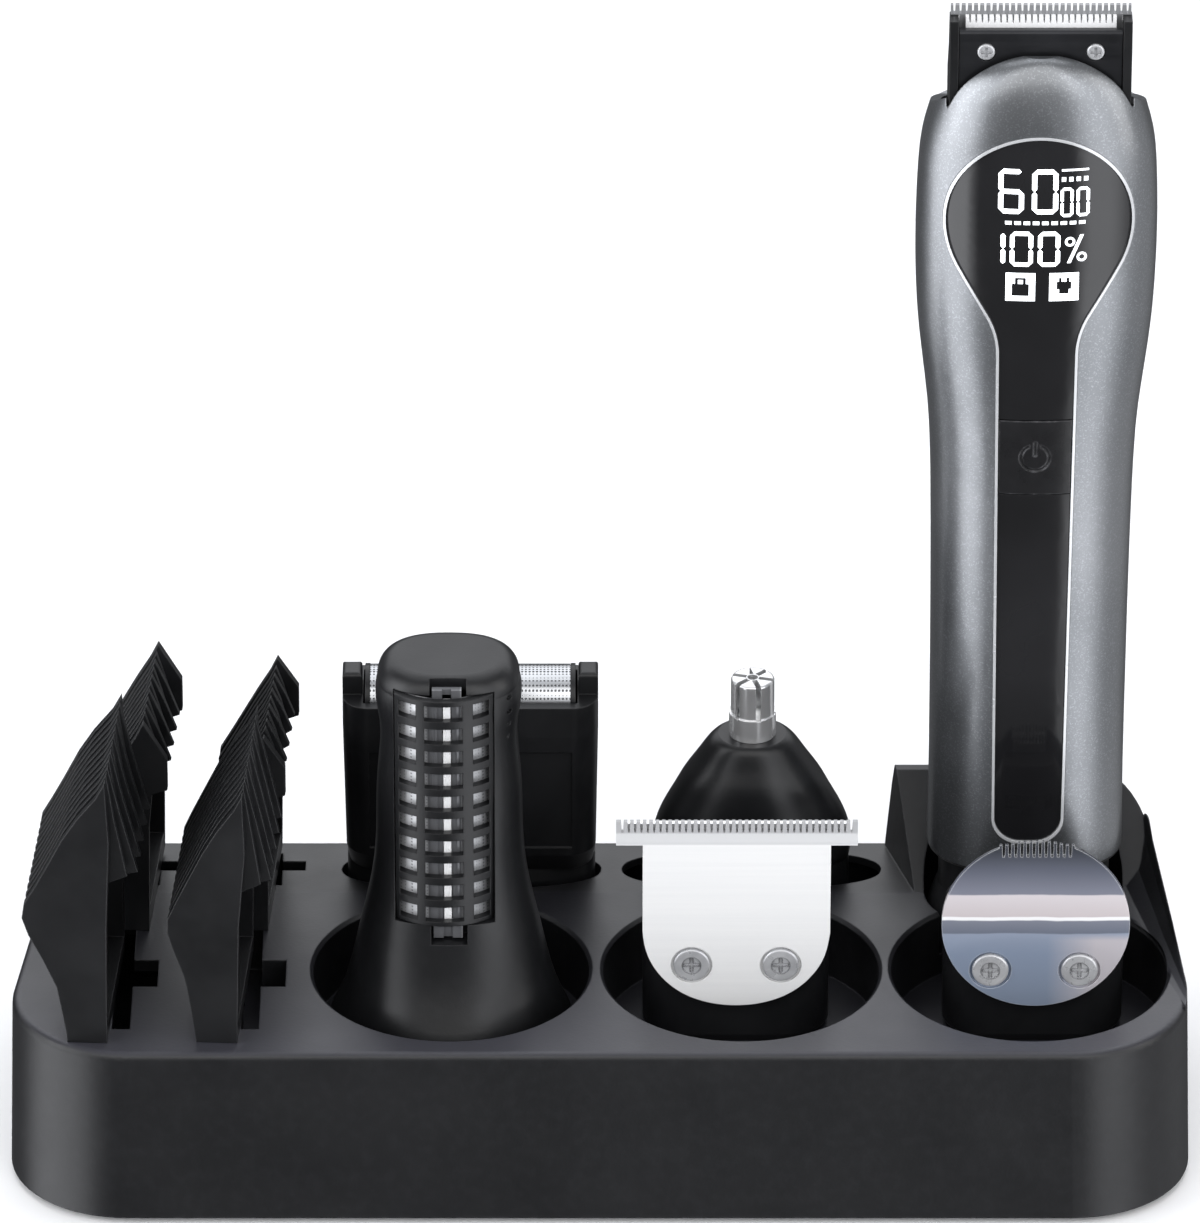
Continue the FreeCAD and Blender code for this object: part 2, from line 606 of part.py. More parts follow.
def display_module():
    module = cyl_y(HAND_X, 7.1, DISPLAY_Z, 11.6, 1.5)
    module = module.fuse(slab(HAND_X, 4.3, 7.7, 8.6, 144.0, 154))
    module = module.fuse(slab(HAND_X, 3, 8.6, 9.4, 147.6, 153))
    return module.cut(skin(-5).cut(skin(SHELL + 0.1)))


def neck_collar():
    """Closes the top of the housing round the head's plug."""
    collar = skin(SHELL + 0.1).common(
        slab(HAND_X, 30, VISOR_Y + 0.15, 60, 166.0, SHOULDER_Z))
    return cut(collar, rounded_box(HAND_X, 20.0, 20.6, 10.2, 4.4, 168.5, 190),
               cyl(HAND_X, MOTOR_Y, 160, 5.0, 20))


def neck_seal():
    seal = rounded_box(HAND_X, 20.0, 20.4, 10.0, 4.3, 168.6, 169.8)
    seal = seal.cut(rounded_box(HAND_X, 20.0, 17.2, 6.8, 2.9, 168, 171))
    return seal.cut(cyl(HAND_X, MOTOR_Y, 160, 5.1, 20))


# ---------------------------------------------------------------- parts shared by the heads
def cut_teeth(plate, x, half_width, y, z_root, z_tip, pitch, slot):
    """Row of slots flaring towards the tip, through a plate near y."""
    x0, x1 = x - half_width, x + half_width
    gaps = int((x1 - x0 - pitch) / pitch)
    start = (x0 + x1) / 2 - gaps * pitch / 2
    root, tip = slot * 0.36, slot * 0.62
    profile = [(-root, z_root), (root, z_root), (tip, z_tip + 1), (-tip, z_tip + 1)]
    return plate.cut(Part.Compound([
        plate_xz(shifted(profile, start + i * pitch), y - 2, y + 2) for i in range(gaps + 1)]))


def blade_screw(x, y, z, head_r, head_h, length):
    """Pan head with a cross recess, facing -Y."""
    screw = cyl_y(x, y, z, head_r, head_h)
    rim = [edge for edge in screw.Edges
           if abs(edge.BoundBox.YMin - y) < 1e-3 and abs(edge.BoundBox.YMax - y) < 1e-3]
    screw = fillet_try(screw, rim, 0.35)
    screw = screw.fuse(cyl_y(x, y + head_h - 0.01, z, 0.95, length))
    arm = min(1.3, head_r * 0.62)
    if head_r > 2.6:
        screw = screw.cut(cyl_y(x, y - 0.1, z, 1.55, 0.32))
    screw = screw.cut(slab(x, arm, y - 0.1, y + 0.55, z - 0.27, z + 0.27))
    return screw.cut(slab(x, 0.27, y - 0.1, y + 0.55, z - arm, z + arm))


# Heads standing in the wells: plates of the blades in y, screws and yoke
FIXED_Y = (-14.7, -13.4)
MOVING_Y = (-13.35, -12.35)
SCREW_DX = 7.4
HEAD_SCREW_R = 3.05
ARM_Y = -10.6
YOKE_FOOT_Z = (24.2, 29.0)
SPRING_Y = -8.52


def yoke(x, y, link_z0, link_z1, link_half):
    """Arm and link behind the moving blade, with a slotted foot for the pin."""
    arm = slab(x, 4.6, ARM_Y, ARM_Y + 1.8, YOKE_FOOT_Z[0], link_z1)
    link = slab(x, link_half, MOVING_Y[1], ARM_Y + 0.5, link_z0, link_z1)
    foot = slab(x, 5.0, ARM_Y + 1.0, y + 3.2, *YOKE_FOOT_Z)
    foot = foot.cut(slab(x, YOKE_SLOT_HALF, y - 3.2, y + 6,
                         YOKE_FOOT_Z[0] - 1, YOKE_FOOT_Z[1] + 1))
    return fuse(arm, link, foot)


def head_moulding(x, y, top_z, top_w, top_d, width, depth):
    """Hollow moulding standing on the well floor: oval foot, wedge towards the blade."""
    front = y - depth / 2
    waist_z = FLOOR_Z + 14.0
    foot = loft([
        rounded_wire(x, y, width - 1.6, depth - 1.4, 6.6, FLOOR_Z + 0.05),
        rounded_wire(x, y, width, depth, 7.0, FLOOR_Z + 1.6),
        rounded_wire(x, y, width, depth, 7.0, waist_z)], True)
    wedge = loft([
        rounded_wire(x, y, width, depth, 7.0, waist_z),
        rounded_wire(x, front + (depth - 3.0) / 2, width - 0.8, depth - 3.0, 5.5, FLOOR_Z + 24.0),
        rounded_wire(x, front + top_d / 2, top_w, top_d, 2.4, top_z)], True)
    body = foot.fuse(wedge)
    body = body.fuse(rounded_box(x, y, 24.0, 12.0, 4.2, FLOOR_Z - 3.9, FLOOR_Z + 1.0))
    in_w, in_d, in_y = width - 4.2, depth - 3.4, front + 1.4 + (depth - 3.4) / 2
    in_z = FLOOR_Z + 16.0
    lower = rounded_box(x, in_y, in_w, in_d, 4.0, FLOOR_Z + 3.0, in_z)
    upper = loft([rounded_wire(x, in_y, in_w, in_d, 4.0, in_z),
                  rounded_wire(x, front + 1.4 + 2.0, top_w - 5.0, 4.0, 1.5, top_z - 3.0)], True)
    mouth = rounded_box(x, y, 20.0, 9.0, 3.0, FLOOR_Z - 5, FLOOR_Z + 4)
    return body.cut(lower).cut(upper).cut(mouth)


def fit_head(body, x, screw_z, link_hole, arm_top, seat):
    """Add screw bosses, openings for the yoke and the spring's seat to a head moulding.

    link_hole is half width, z0, z1; seat is y, z, radius.
    """
    for screw_x in (x - SCREW_DX, x + SCREW_DX):
        body = body.fuse(cyl_y(screw_x, FIXED_Y[1], screw_z, 3.0, 6.0))
        body = body.cut(cyl_y(screw_x, -14, screw_z, 0.98, 9))
    half, z0, z1 = link_hole
    body = body.cut(slab(x, half, -14, -10.0, z0, z1))
    body = body.cut(slab(x, 6.4, -10.9, -3.0, 23.0, arm_top))
    seat_y, seat_z, seat_r = seat
    return body.fuse(cyl_y(x, seat_y, seat_z, seat_r, 4.2))


def drill_fixed(blade, x, z, recess_r):
    """Screw holes with round recesses for the heads."""
    for screw_x in (x - SCREW_DX, x + SCREW_DX):
        blade = blade.cut(cyl_y(screw_x, -15.5, z, recess_r, 1.35))
        blade = blade.cut(cyl_y(screw_x, -16, z, 1.1, 5))
    return blade


def screw_pair(x, dx, *place_and_size):
    return Part.Compound([blade_screw(screw_x, *place_and_size) for screw_x in (x - dx, x + dx)])


# ---------------------------------------------------------------- T-blade head
T_X, T_Y = SOCKETS[1]
T_SCREW_Z = 34.6
T_SPRING_Z = 47.6
T_HALF, T_NECK_HALF, T_MOVING_HALF = 19.95, 15.55, 18.2
T_PITCH, T_SLOT = 1.05, 0.42
# half width and z of the fixed blade's rounded lower end, top to bottom
T_LOWER = [(T_NECK_HALF, 44), (15.5, 40.5), (14.6, 36.2), (12.3, 32.2), (8.6, 29.0), (4.3, 27.3)]


def t_head_body():
    body = head_moulding(T_X, T_Y, 56.5, 28.0, 5.0, width=31.0, depth=16.8)
    return fit_head(body, T_X, T_SCREW_Z, link_hole=(6.4, 44.4, 51.4), arm_top=51.0,
                    seat=(-6.55, T_SPRING_Z, 2.4))


def t_fixed_blade():
    outline = [(-x, z) for x, z in T_LOWER] + [(0, 26.8)] + T_LOWER[::-1] + [(8, 47), (-8, 47)]
    wire = smooth_wire([Vector(T_X + x, FIXED_Y[0], z) for x, z in outline])
    lower = Part.Face(wire).extrude(Vector(0, FIXED_Y[1] - FIXED_Y[0], 0))
    blade = fuse(slab(T_X, T_HALF, *FIXED_Y, 57.6, 61.8),
                 slab(T_X, T_NECK_HALF, *FIXED_Y, 43.9, 57.7),
                 lower.common(slab(T_X, T_NECK_HALF, -20, 0, 20, 44.0)))
    blade = blade.cut(plate_yz([(-15.5, 58.2), (FIXED_Y[0], 58.2), (-14.1, 62.5), (-15.5, 62.5)],
                               T_X - 22, T_X + 22))
    blade = cut_teeth(blade, T_X, T_HALF, -14, 59.9, 61.8, T_PITCH, T_SLOT)
    return drill_fixed(blade, T_X, T_SCREW_Z, 3.45)


def t_blade_screws():
    return screw_pair(T_X, SCREW_DX, -14.96, T_SCREW_Z, HEAD_SCREW_R, 0.78, 4.6)


def t_moving_blade():
    blade = fuse(slab(T_X, T_MOVING_HALF, *MOVING_Y, 57.8, 61.0),
                 slab(T_X, 9.0, *MOVING_Y, 44.6, 57.9))
    return cut_teeth(blade, T_X, T_MOVING_HALF, -13, 59.4, 61.0, T_PITCH, T_SLOT)


def t_yoke():
    return yoke(T_X, T_Y, 45.4, 50.6, link_half=4.0)


def t_spring():
    return coil(T_X, SPRING_Y, T_SPRING_Z, 1.7, 0.26, 1.68, 3)


# ---------------------------------------------------------------- narrow detail head
DETAIL_X, DETAIL_Y = SOCKETS[2]
DETAIL_SCREW_Z = 33.6
DETAIL_SPRING_Z = 46.2
DETAIL_HALF, DETAIL_MOVING_HALF = 6.2, 5.2
DETAIL_PITCH, DETAIL_SLOT = 1.0, 0.45
# half width and z of the fixed blade's nose
DETAIL_NOSE = [(11.6, 50.0), (8.6, 52.9), (6.4, 54.8), (DETAIL_HALF, 57.2)]


def detail_head_body():
    body = head_moulding(DETAIL_X, DETAIL_Y, 53.0, 17.0, 4.6, width=30.0, depth=16.4)
    return fit_head(body, DETAIL_X, DETAIL_SCREW_Z, link_hole=(6.2, 43.4, 49.4), arm_top=49.0,
                    seat=(-6.75, DETAIL_SPRING_Z, 2.3))


def detail_fixed_blade():
    disc = cyl_y(DETAIL_X, FIXED_Y[0], 42.3, 15.6, 1.3)
    blade = fuse(disc, plate_xz(shifted(mirrored(DETAIL_NOSE), DETAIL_X), *FIXED_Y))
    blade = blade.cut(plate_yz([(-15.5, 43.4), (FIXED_Y[0], 43.4), (-14.45, 48.8), (-13.85, 58.0),
                                (-15.5, 58.0)], DETAIL_X - 22, DETAIL_X + 22))
    blade = cut_teeth(blade, DETAIL_X, DETAIL_HALF, -14, 55.0, 57.2, DETAIL_PITCH, DETAIL_SLOT)
    return drill_fixed(blade, DETAIL_X, DETAIL_SCREW_Z, 3.5)


def detail_blade_screws():
    return screw_pair(DETAIL_X, SCREW_DX, -14.98, DETAIL_SCREW_Z, HEAD_SCREW_R, 0.8, 4.6)


def detail_moving_blade():
    blade = fuse(slab(DETAIL_X, DETAIL_MOVING_HALF, *MOVING_Y, 50.0, 56.4),
                 slab(DETAIL_X, 5.0, *MOVING_Y, 43.6, 50.1))
    return cut_teeth(blade, DETAIL_X, DETAIL_MOVING_HALF, -13, 54.6, 56.4, DETAIL_PITCH,
                     DETAIL_SLOT)


def detail_yoke():
    return yoke(DETAIL_X, DETAIL_Y, 44.2, 48.6, link_half=3.6)


def detail_spring():
    return coil(DETAIL_X, SPRING_Y, DETAIL_SPRING_Z, 1.6, 0.26, 1.48, 3)


# ---------------------------------------------------------------- trimming head on the handset
TRIM_FIXED_Y = (15.65, 16.7)
TRIM_MOVING_Y = (14.6, 15.6)
TRIM_SCREW_DX, TRIM_SCREW_Z = 8.85, 190.0
TRIM_SCREWS_X = (HAND_X - TRIM_SCREW_DX, HAND_X + TRIM_SCREW_DX)
TRIM_SPRING_Z = 184.2
TRIM_HALF, TRIM_MOVING_HALF, CLAMP_HALF = 14.6, 12.2, 13.2


def trim_head_body():
    body = loft([rounded_wire(HAND_X, 19.6, 29.6, 14.2, 4.5, SHOULDER_Z + 0.12),
                 rounded_wire(HAND_X, 19.2, 29.6, 13.4, 3.6, 183.0),
                 rounded_wire(HAND_X, 18.6, 29.2, 4.0, 1.0, 191.6)], True)
    body = body.fuse(rounded_box(HAND_X, 20.0, 20.2, 9.8, 4.2, 170.1, SHOULDER_Z + 1.0))
    # cheeks either side of the blades, tapered at front and back
    z0 = SHOULDER_Z + 2.2
    cheeks = box(HAND_X - 14.75, HAND_X - 13.3, 12.6, 19.0, z0, 195.4).fuse(
        box(HAND_X + 13.3, HAND_X + 14.75, 12.6, 19.0, z0, 195.4))
    for taper in ([(12.0, 186), (13.2, 196), (12.0, 196)], [(19.6, 186), (16.8, 196), (19.6, 196)]):
        cheeks = cheeks.cut(plate_yz(taper, HAND_X - 20, HAND_X + 20))
    body = cut(body.fuse(cheeks),
               slab(HAND_X, 13.3, 10, 16.72, SHOULDER_Z + 2.6, 200),
               slab(HAND_X, 7.2, 16.0, 23.4, 171.0, 189.0),
               slab(HAND_X, 9.0, 16.4, 23.6, 169, 176.5),
               slab(HAND_X, 7.2, 10, 18, SHOULDER_Z + 2.6, 186))
    for x in TRIM_SCREWS_X:
        body = body.cut(cyl_y(x, 12, TRIM_SCREW_Z, 0.98, 7.6))
    seat = cyl_y(HAND_X, 19.98, TRIM_SPRING_Z, 1.7, 3.9)
    return body.fuse(seat.common(slab(HAND_X, 5, 19, 24.2, 180, 189)))


def trim_fixed_blade():
    blade = slab(HAND_X, CLAMP_HALF, *TRIM_FIXED_Y, 179.5, 193.4)
    blade = blade.fuse(slab(HAND_X, TRIM_HALF, *TRIM_FIXED_Y, 195.45, 197.1))
    blade = blade.fuse(slab(HAND_X, CLAMP_HALF, *TRIM_FIXED_Y, 193.3, 195.5))
    blade = blade.cut(slab(HAND_X, 5.6, 15, 18, 177, 186.6))
    bevel = [(14.9, 195.6), (TRIM_FIXED_Y[0], 195.6), (16.1, 198.4), (14.9, 198.4)]
    blade = blade.cut(plate_yz(bevel, HAND_X - 20, HAND_X + 20))
    blade = cut_teeth(blade, HAND_X, TRIM_HALF, 16, 195.7, 197.1, 1.0, 0.36)
    return cut(blade, *[cyl_y(x, 12, TRIM_SCREW_Z, 1.1, 8) for x in TRIM_SCREWS_X])


def trim_blade_clamp():
    clamp = slab(HAND_X, CLAMP_HALF, 13.1, 14.5, SHOULDER_Z + 2.7, 193.7)
    clamp = fillet_try(clamp, [edge for edge in clamp.Edges if edge.BoundBox.YMax < 13.2
                               and edge.BoundBox.ZMin > 193], 0.6)
    spacers = []
    for x in TRIM_SCREWS_X:
        clamp = clamp.cut(cyl_y(x, 12, TRIM_SCREW_Z, 1.1, 5))
        clamp = clamp.cut(cyl_y(x, 12, TRIM_SCREW_Z, 1.6, 1.6))
        spacer = cyl_y(x, 14.45, TRIM_SCREW_Z, 1.9, 1.17)
        spacers.append(spacer.cut(cyl_y(x, 12, TRIM_SCREW_Z, 1.1, 8)))
    return fuse(clamp, *spacers)


def trim_blade_screws():
    return screw_pair(HAND_X, TRIM_SCREW_DX, 12.85, TRIM_SCREW_Z, 1.45, 0.74, 5.2)


def trim_moving_blade():
    blade = fuse(slab(HAND_X, TRIM_MOVING_HALF, *TRIM_MOVING_Y, 192.1, 195.6),
                 slab(HAND_X, 5.0, *TRIM_MOVING_Y, 180.6, 192.2))
    return cut_teeth(blade, HAND_X, TRIM_MOVING_HALF, 15, 194.5, 195.6, 1.0, 0.30)


def trim_yoke():
    body = fuse(slab(HAND_X, 4.4, 15.6, 18.2, 178.4, 186.0),
                slab(HAND_X, 5.0, 16.8, 22.6, 177.6, 181.8))
    return body.cut(slab(HAND_X, YOKE_SLOT_HALF, MOTOR_Y - 2.2, 30, 170, 182.0))


def trim_spring():
    return coil(HAND_X, 18.5, TRIM_SPRING_Z, 1.2, 0.22, 1.2, 3)


# ---------------------------------------------------------------- nose and ear head
NOSE_X, NOSE_Y = REAR_POCKETS[1]
# z, half width, half depth, centre y from NOSE_Y, squareness
NOSE_STATIONS = [
    (32.6, 16.4, 6.2, 0, 2.3), (35.6, 16.7, 8.6, -0.6, 2.3), (38.6, 16.4, 9.0, -0.6, 2.25),
    (42.0, 15.2, 8.9, -0.4, 2.2), (46.6, 12.8, 8.5, -0.3, 2.1), (50.2, 10.7, 7.8, -0.2, 2.05),
    (53.2, 8.6, 6.9, 0, 2.0), (55.2, 7.1, 6.2, 0, 2.0), (56.1, 5.7, 5.4, 0, 2.0),
]


def nose_head_body():
    foot = oval_prism(NOSE_X, NOSE_Y, 16.4, 6.2, FLOOR_Z + 0.9, 33.0, 2.3)
    body = foot.fuse(loft([oval_wire(NOSE_X, NOSE_Y + dy, a, b, z, power)
                           for z, a, b, dy, power in NOSE_STATIONS]))
    return cut(body, cyl(NOSE_X, NOSE_Y, 50.5, 3.8, 10), cyl(NOSE_X, NOSE_Y, 24, 3.4, 30),
               oval_prism(NOSE_X, NOSE_Y, 11.5, 4.4, 17, 28, 2.3))


def nose_guard_tube():
    """Closed-ended tube with a collar and three slots across its tip."""
    tube = cyl(NOSE_X, NOSE_Y, 50.6, 3.65, 16.2).cut(cyl(NOSE_X, NOSE_Y, 50, 3.15, 15.2))
    collar = cyl(NOSE_X, NOSE_Y, 56.15, 3.95, 4.2).cut(cyl(NOSE_X, NOSE_Y, 55, 3.2, 6))
    tube = fuse(tube, collar)
    tube = fillet_try(tube, [edge for edge in tube.Edges
                             if abs(edge.BoundBox.ZMin - 66.8) < 1e-3 and edge.Length > 20], 0.5)
    hub = cyl(NOSE_X, NOSE_Y, 60, 1.1, 9)
    for i in range(3):
        slot = slab(0, 0.45, -6, 6, 60.2, 68)
        slot.rotate(Vector(0, 0, 0), Vector(0, 0, 1), 60 * i + 15)
        slot.translate(Vector(NOSE_X, NOSE_Y, 0))
        tube = tube.cut(slot.cut(hub))
    return tube.cut(cyl(NOSE_X, NOSE_Y, 64, 0.9, 5))


def nose_cutter():
    cutter = fuse(cyl(NOSE_X, NOSE_Y, 26, 1.2, 33.6), cyl(NOSE_X, NOSE_Y, 58.0, 2.4, 1.6),
                  slab(NOSE_X, 2.9, NOSE_Y - 0.3, NOSE_Y + 0.3, 59.4, 64.8),
                  cyl(NOSE_X, NOSE_Y, 26, 2.6, 4.0))
    return cutter.cut(slab(NOSE_X, 0.8, NOSE_Y - 3, NOSE_Y + 3, 25, 28))


# ---------------------------------------------------------------- foil shaver head
SHAVER_X, SHAVER_Y = REAR_POCKETS[0]
FOIL_Y, FOIL_Z = SHAVER_Y - 0.7, 63.6    # axis of the arched foil
# z, centre y from SHAVER_Y, width, depth, corner radius
SHAVER_STATIONS = [(33.0, 0, 41.0, 12.2, 5.0), (37.0, -0.8, 42.0, 15.0, 5.0),
                   (60.0, -0.8, 42.8, 15.4, 4.5), (65.4, -0.8, 42.8, 15.0, 4.5)]


def foil_rod(half_length, radius):
    return cyl_x(SHAVER_X - half_length, FOIL_Y, FOIL_Z, radius, 2 * half_length)


def above(z):
    """Space round the shaver head from z up."""
    return slab(SHAVER_X, 20, SHAVER_Y - 10, SHAVER_Y + 10, z, 72)


def shaver_head_body():
    x, y = SHAVER_X, SHAVER_Y
    foot = oval_prism(x, y, 20.9, 6.3, FLOOR_Z + 0.9, 33.5, 2.35)
    body = foot.fuse(loft([rounded_wire(x, y + dy, width, depth, radius, z)
                           for z, dy, width, depth, radius in SHAVER_STATIONS], True))
    top = 69.3
    posts = box(x - 21.4, x - 18.1, y - 3.4, y + 1.4, 60, top).fuse(
        box(x + 18.1, x + 21.4, y - 3.4, y + 1.4, 60, top))
    posts = fillet_try(posts, [edge for edge in posts.Edges
                               if abs(edge.BoundBox.ZMin - top) < 1e-3
                               and abs(edge.BoundBox.ZMax - top) < 1e-3], 0.8)
    body = cut(body.fuse(posts), slab(x, 17.9, y - 6.4, y + 5.0, 54.0, 80),
               oval_prism(x, y, 15.0, 4.4, 17, 30, 2.3), slab(x, 6, y - 3.2, y + 3.2, 28, 55))
    # shallow panel in the front
    panel = slab(x, 17.0, y - 9.2, y - 8.0, 38.5, 57.0)
    return body.cut(panel.common(rounded_box(x, y, 34, 40, 0.5, 30, 60)))


def foil_frame():
    x, y = SHAVER_X, SHAVER_Y
    frame = slab(x, 17.6, y - 6.2, y + 4.8, 58.2, 64.6)
    frame = frame.cut(slab(x, 15.9, y - 4.9, y + 3.5, 57, 66))
    for end_x in (x - 17.6, x + 16.8):
        frame = frame.fuse(cyl_x(end_x, FOIL_Y, FOIL_Z, 5.5, 0.8).common(above(64.0)))
    return frame.cut(foil_rod(15.9, 5.12)).cut(foil_rod(16.8, 5.45).common(above(64.6)))


def foil_screen():
    return foil_rod(16.75, 5.4).cut(foil_rod(17, 5.15)).common(above(64.65))


def shaver_cutter():
    cutter = foil_rod(13.8, 4.9).cut(foil_rod(15, 3.6)).common(above(63.2))
    x0, pitch, slot = SHAVER_X - 12.6, 1.6, 0.8
    return cutter.cut(Part.Compound([
        box(x0 + i * pitch, x0 + slot + i * pitch, SHAVER_Y - 8, SHAVER_Y + 8, 64.6, 72)
        for i in range(16)]))


def shaver_yoke():
    x, y = SHAVER_X, SHAVER_Y
    body = fuse(slab(x, 13.4, y - 4.3, y + 2.9, 61.4, 63.15),
                slab(x, 4.8, y - 2.4, y + 2.0, 50.0, 61.5))
    return body.cut(slab(x, YOKE_SLOT_HALF, y - 3, y + 3, 49, 56.5))


def foil_springs():
    return Part.Compound([coil(SHAVER_X + dx, FOIL_Y, 54.25, 1.3, 0.24, 3.6, 4, along_y=False)
                          for dx in (-14.2, 14.2)])


# ---------------------------------------------------------------- upright body-groomer head
GROOM_X, SOCKET_Y = SOCKETS[0]
GROOM_Y = WELLS[0][1]
GROOM_TOP = 90.0
WINDOW_Z0, WINDOW_Z1 = 44.8, 87.6
ROW_TOP, ROW_PITCH = 85.2, 4.23
GUARD_X, GUARD_Y = GROOM_X - 0.7, GROOM_Y + 0.4    # axis of the curved guard and foil
# z, half width, half depth of the flared body
FLARE = [
    (18.05, 20.2, 20.2), (20.5, 20.4, 20.4), (24, 19.0, 18.6), (29, 17.2, 16.0),
    (34.5, 15.9, 13.6), (40.5, 14.6, 11.9), (47.5, 13.1, 10.7), (56, 12.2, 10.2),
    (68, 11.85, 10.0), (79, 11.45, 9.7), (GROOM_TOP - 3.6, 11.6, 9.75),
]
# z, half width, half depth, squareness of the rounded top
GROOM_CROWN = [
    (GROOM_TOP - 3.65, 11.69, 9.79, 2.55), (GROOM_TOP - 2.0, 11.35, 9.45, 2.52),
    (GROOM_TOP - 0.65, 10.3, 8.5, 2.48), (GROOM_TOP, 8.4, 6.8, 2.45),
]


def groomer_head_body():
    x, y = GROOM_X, GROOM_Y
    # round at the foot, squarer from z = 22 to 52
    body = loft([oval_wire(x, y, a, b, z, 2.0 + min(1.0, max(0, (z - 22) / 30.0)) * 0.55)
                 for z, a, b in FLARE])
    body = body.fuse(loft([oval_wire(x, y, a, b, z, power) for z, a, b, power in GROOM_CROWN]))
    body = body.fuse(rounded_box(x, SOCKET_Y, 24.0, 12.0, 4.2, FLOOR_Z - 3.9, FLOOR_Z + 1.0))
    return cut(
        body, box(x - 8.95, x + 7.55, y - 14, y - 3.2, WINDOW_Z0, WINDOW_Z1),
        slab(x, 3.0, y - 14, y - 7.6, WINDOW_Z0 - 3.4, WINDOW_Z1 + 2.6),
        rounded_box(x, SOCKET_Y, 20.0, 9.0, 3.0, FLOOR_Z - 5, 40.0),
        slab(x, 5.6, y - 3.4, y + 7.5, 30, WINDOW_Z1 - 6),
        slab(x, 2.6, y - 7.0, y - 3.0, WINDOW_Z0 - 3.0, WINDOW_Z1 + 1.4),
        *[cyl_y(x + 10.0, y - 14.0, z, 0.42, 8.1) for z in (85.6, 83.1, 80.6, 78.1)])


def curved_sheet(gap, outer_r, inner_r):
    """Tube filling the window's height but for a gap at each end."""
    tube = cyl(GUARD_X, GUARD_Y, WINDOW_Z0 + gap, outer_r, WINDOW_Z1 - WINDOW_Z0 - 2 * gap)
    return tube.cut(cyl(GUARD_X, GUARD_Y, WINDOW_Z0 - 1, inner_r, 60))


def groomer_guard():
    """Shallow arc with ten rows of three windows."""
    x, y = GROOM_X, GROOM_Y
    guard = curved_sheet(0.12, 12.0, 10.75).common(box(x - 8.8, x + 7.4, y - 20, y - 5.0, 40, 95))
    windows = []
    for i in range(10):
        z = ROW_TOP - i * ROW_PITCH
        for x0, x1 in ((-8.1, -5.3), (-3.9, 2.4), (4.1, 6.7)):
            windows.append(box(x + x0, x + x1, y - 20, y - 2, z - 1.42, z + 1.42))
    return guard.cut(Part.Compound(windows))


def groomer_foil():
    """Curved sheet behind the guard, with two rails that the blade runs between."""
    x, y = GROOM_X, GROOM_Y
    foil = curved_sheet(0.3, 10.65, 10.2).common(box(x - 8.7, x + 7.3, y - 20, y - 4.0, 40, 95))
    foil = foil.cut(box(x - 1.8, x + 1.4, y - 20, y - 6, 40, 95))
    z0, z1 = WINDOW_Z0 - 3.0, WINDOW_Z1 + 1.2
    return fuse(foil, box(x - 2.6, x - 0.95, y - 9.9, y - 9.22, z0, z1),
                box(x + 0.55, x + 2.2, y - 9.9, y - 9.22, z0, z1),
                box(x - 2.6, x + 2.2, y - 9.4, y - 8.6, z0, WINDOW_Z0 - 1.2),
                box(x - 2.6, x + 2.2, y - 9.4, y - 8.6, WINDOW_Z1 + 0.2, z1))


def groomer_blade():
    x, y = GROOM_X, GROOM_Y
    return fuse(box(x - 0.8, x + 0.4, y - 10.15, y - 8.9, WINDOW_Z0 + 0.8, WINDOW_Z1 - 0.8),
                box(x - 1.8, x + 1.4, y - 9.1, y - 8.4, 52.0, 80.0),
                box(x - 1.8, x + 1.4, y - 8.6, y + 1.4, 62.0, 66.0),
                slab(x, 2.4, y + 1.0, y + 4.2, 56.0, 70.0),
                slab(x, 2.4, y + 2.6, y + 6.4, 36.0, 58.0))


# ---------------------------------------------------------------- guide combs
COMB_TURN = 3.6          # degrees, clockwise from above
COMB_FOOT_Z = DECK_Z + 0.1
COMB_WALL = 1.5
COMB_PITCH, COMB_TOOTH = 2.55, 1.05
FRONT_Y, REAR_Y = (-32.0, -1.8), (4.2, 32.6)
FRONT_TAB = (-13.9, -5.5, 22.6, 32.0)    # y0, y1, z0, z1 of the tab standing in the slot
REAR_TAB = (25.1, 28.1, 23.5, 32.0)

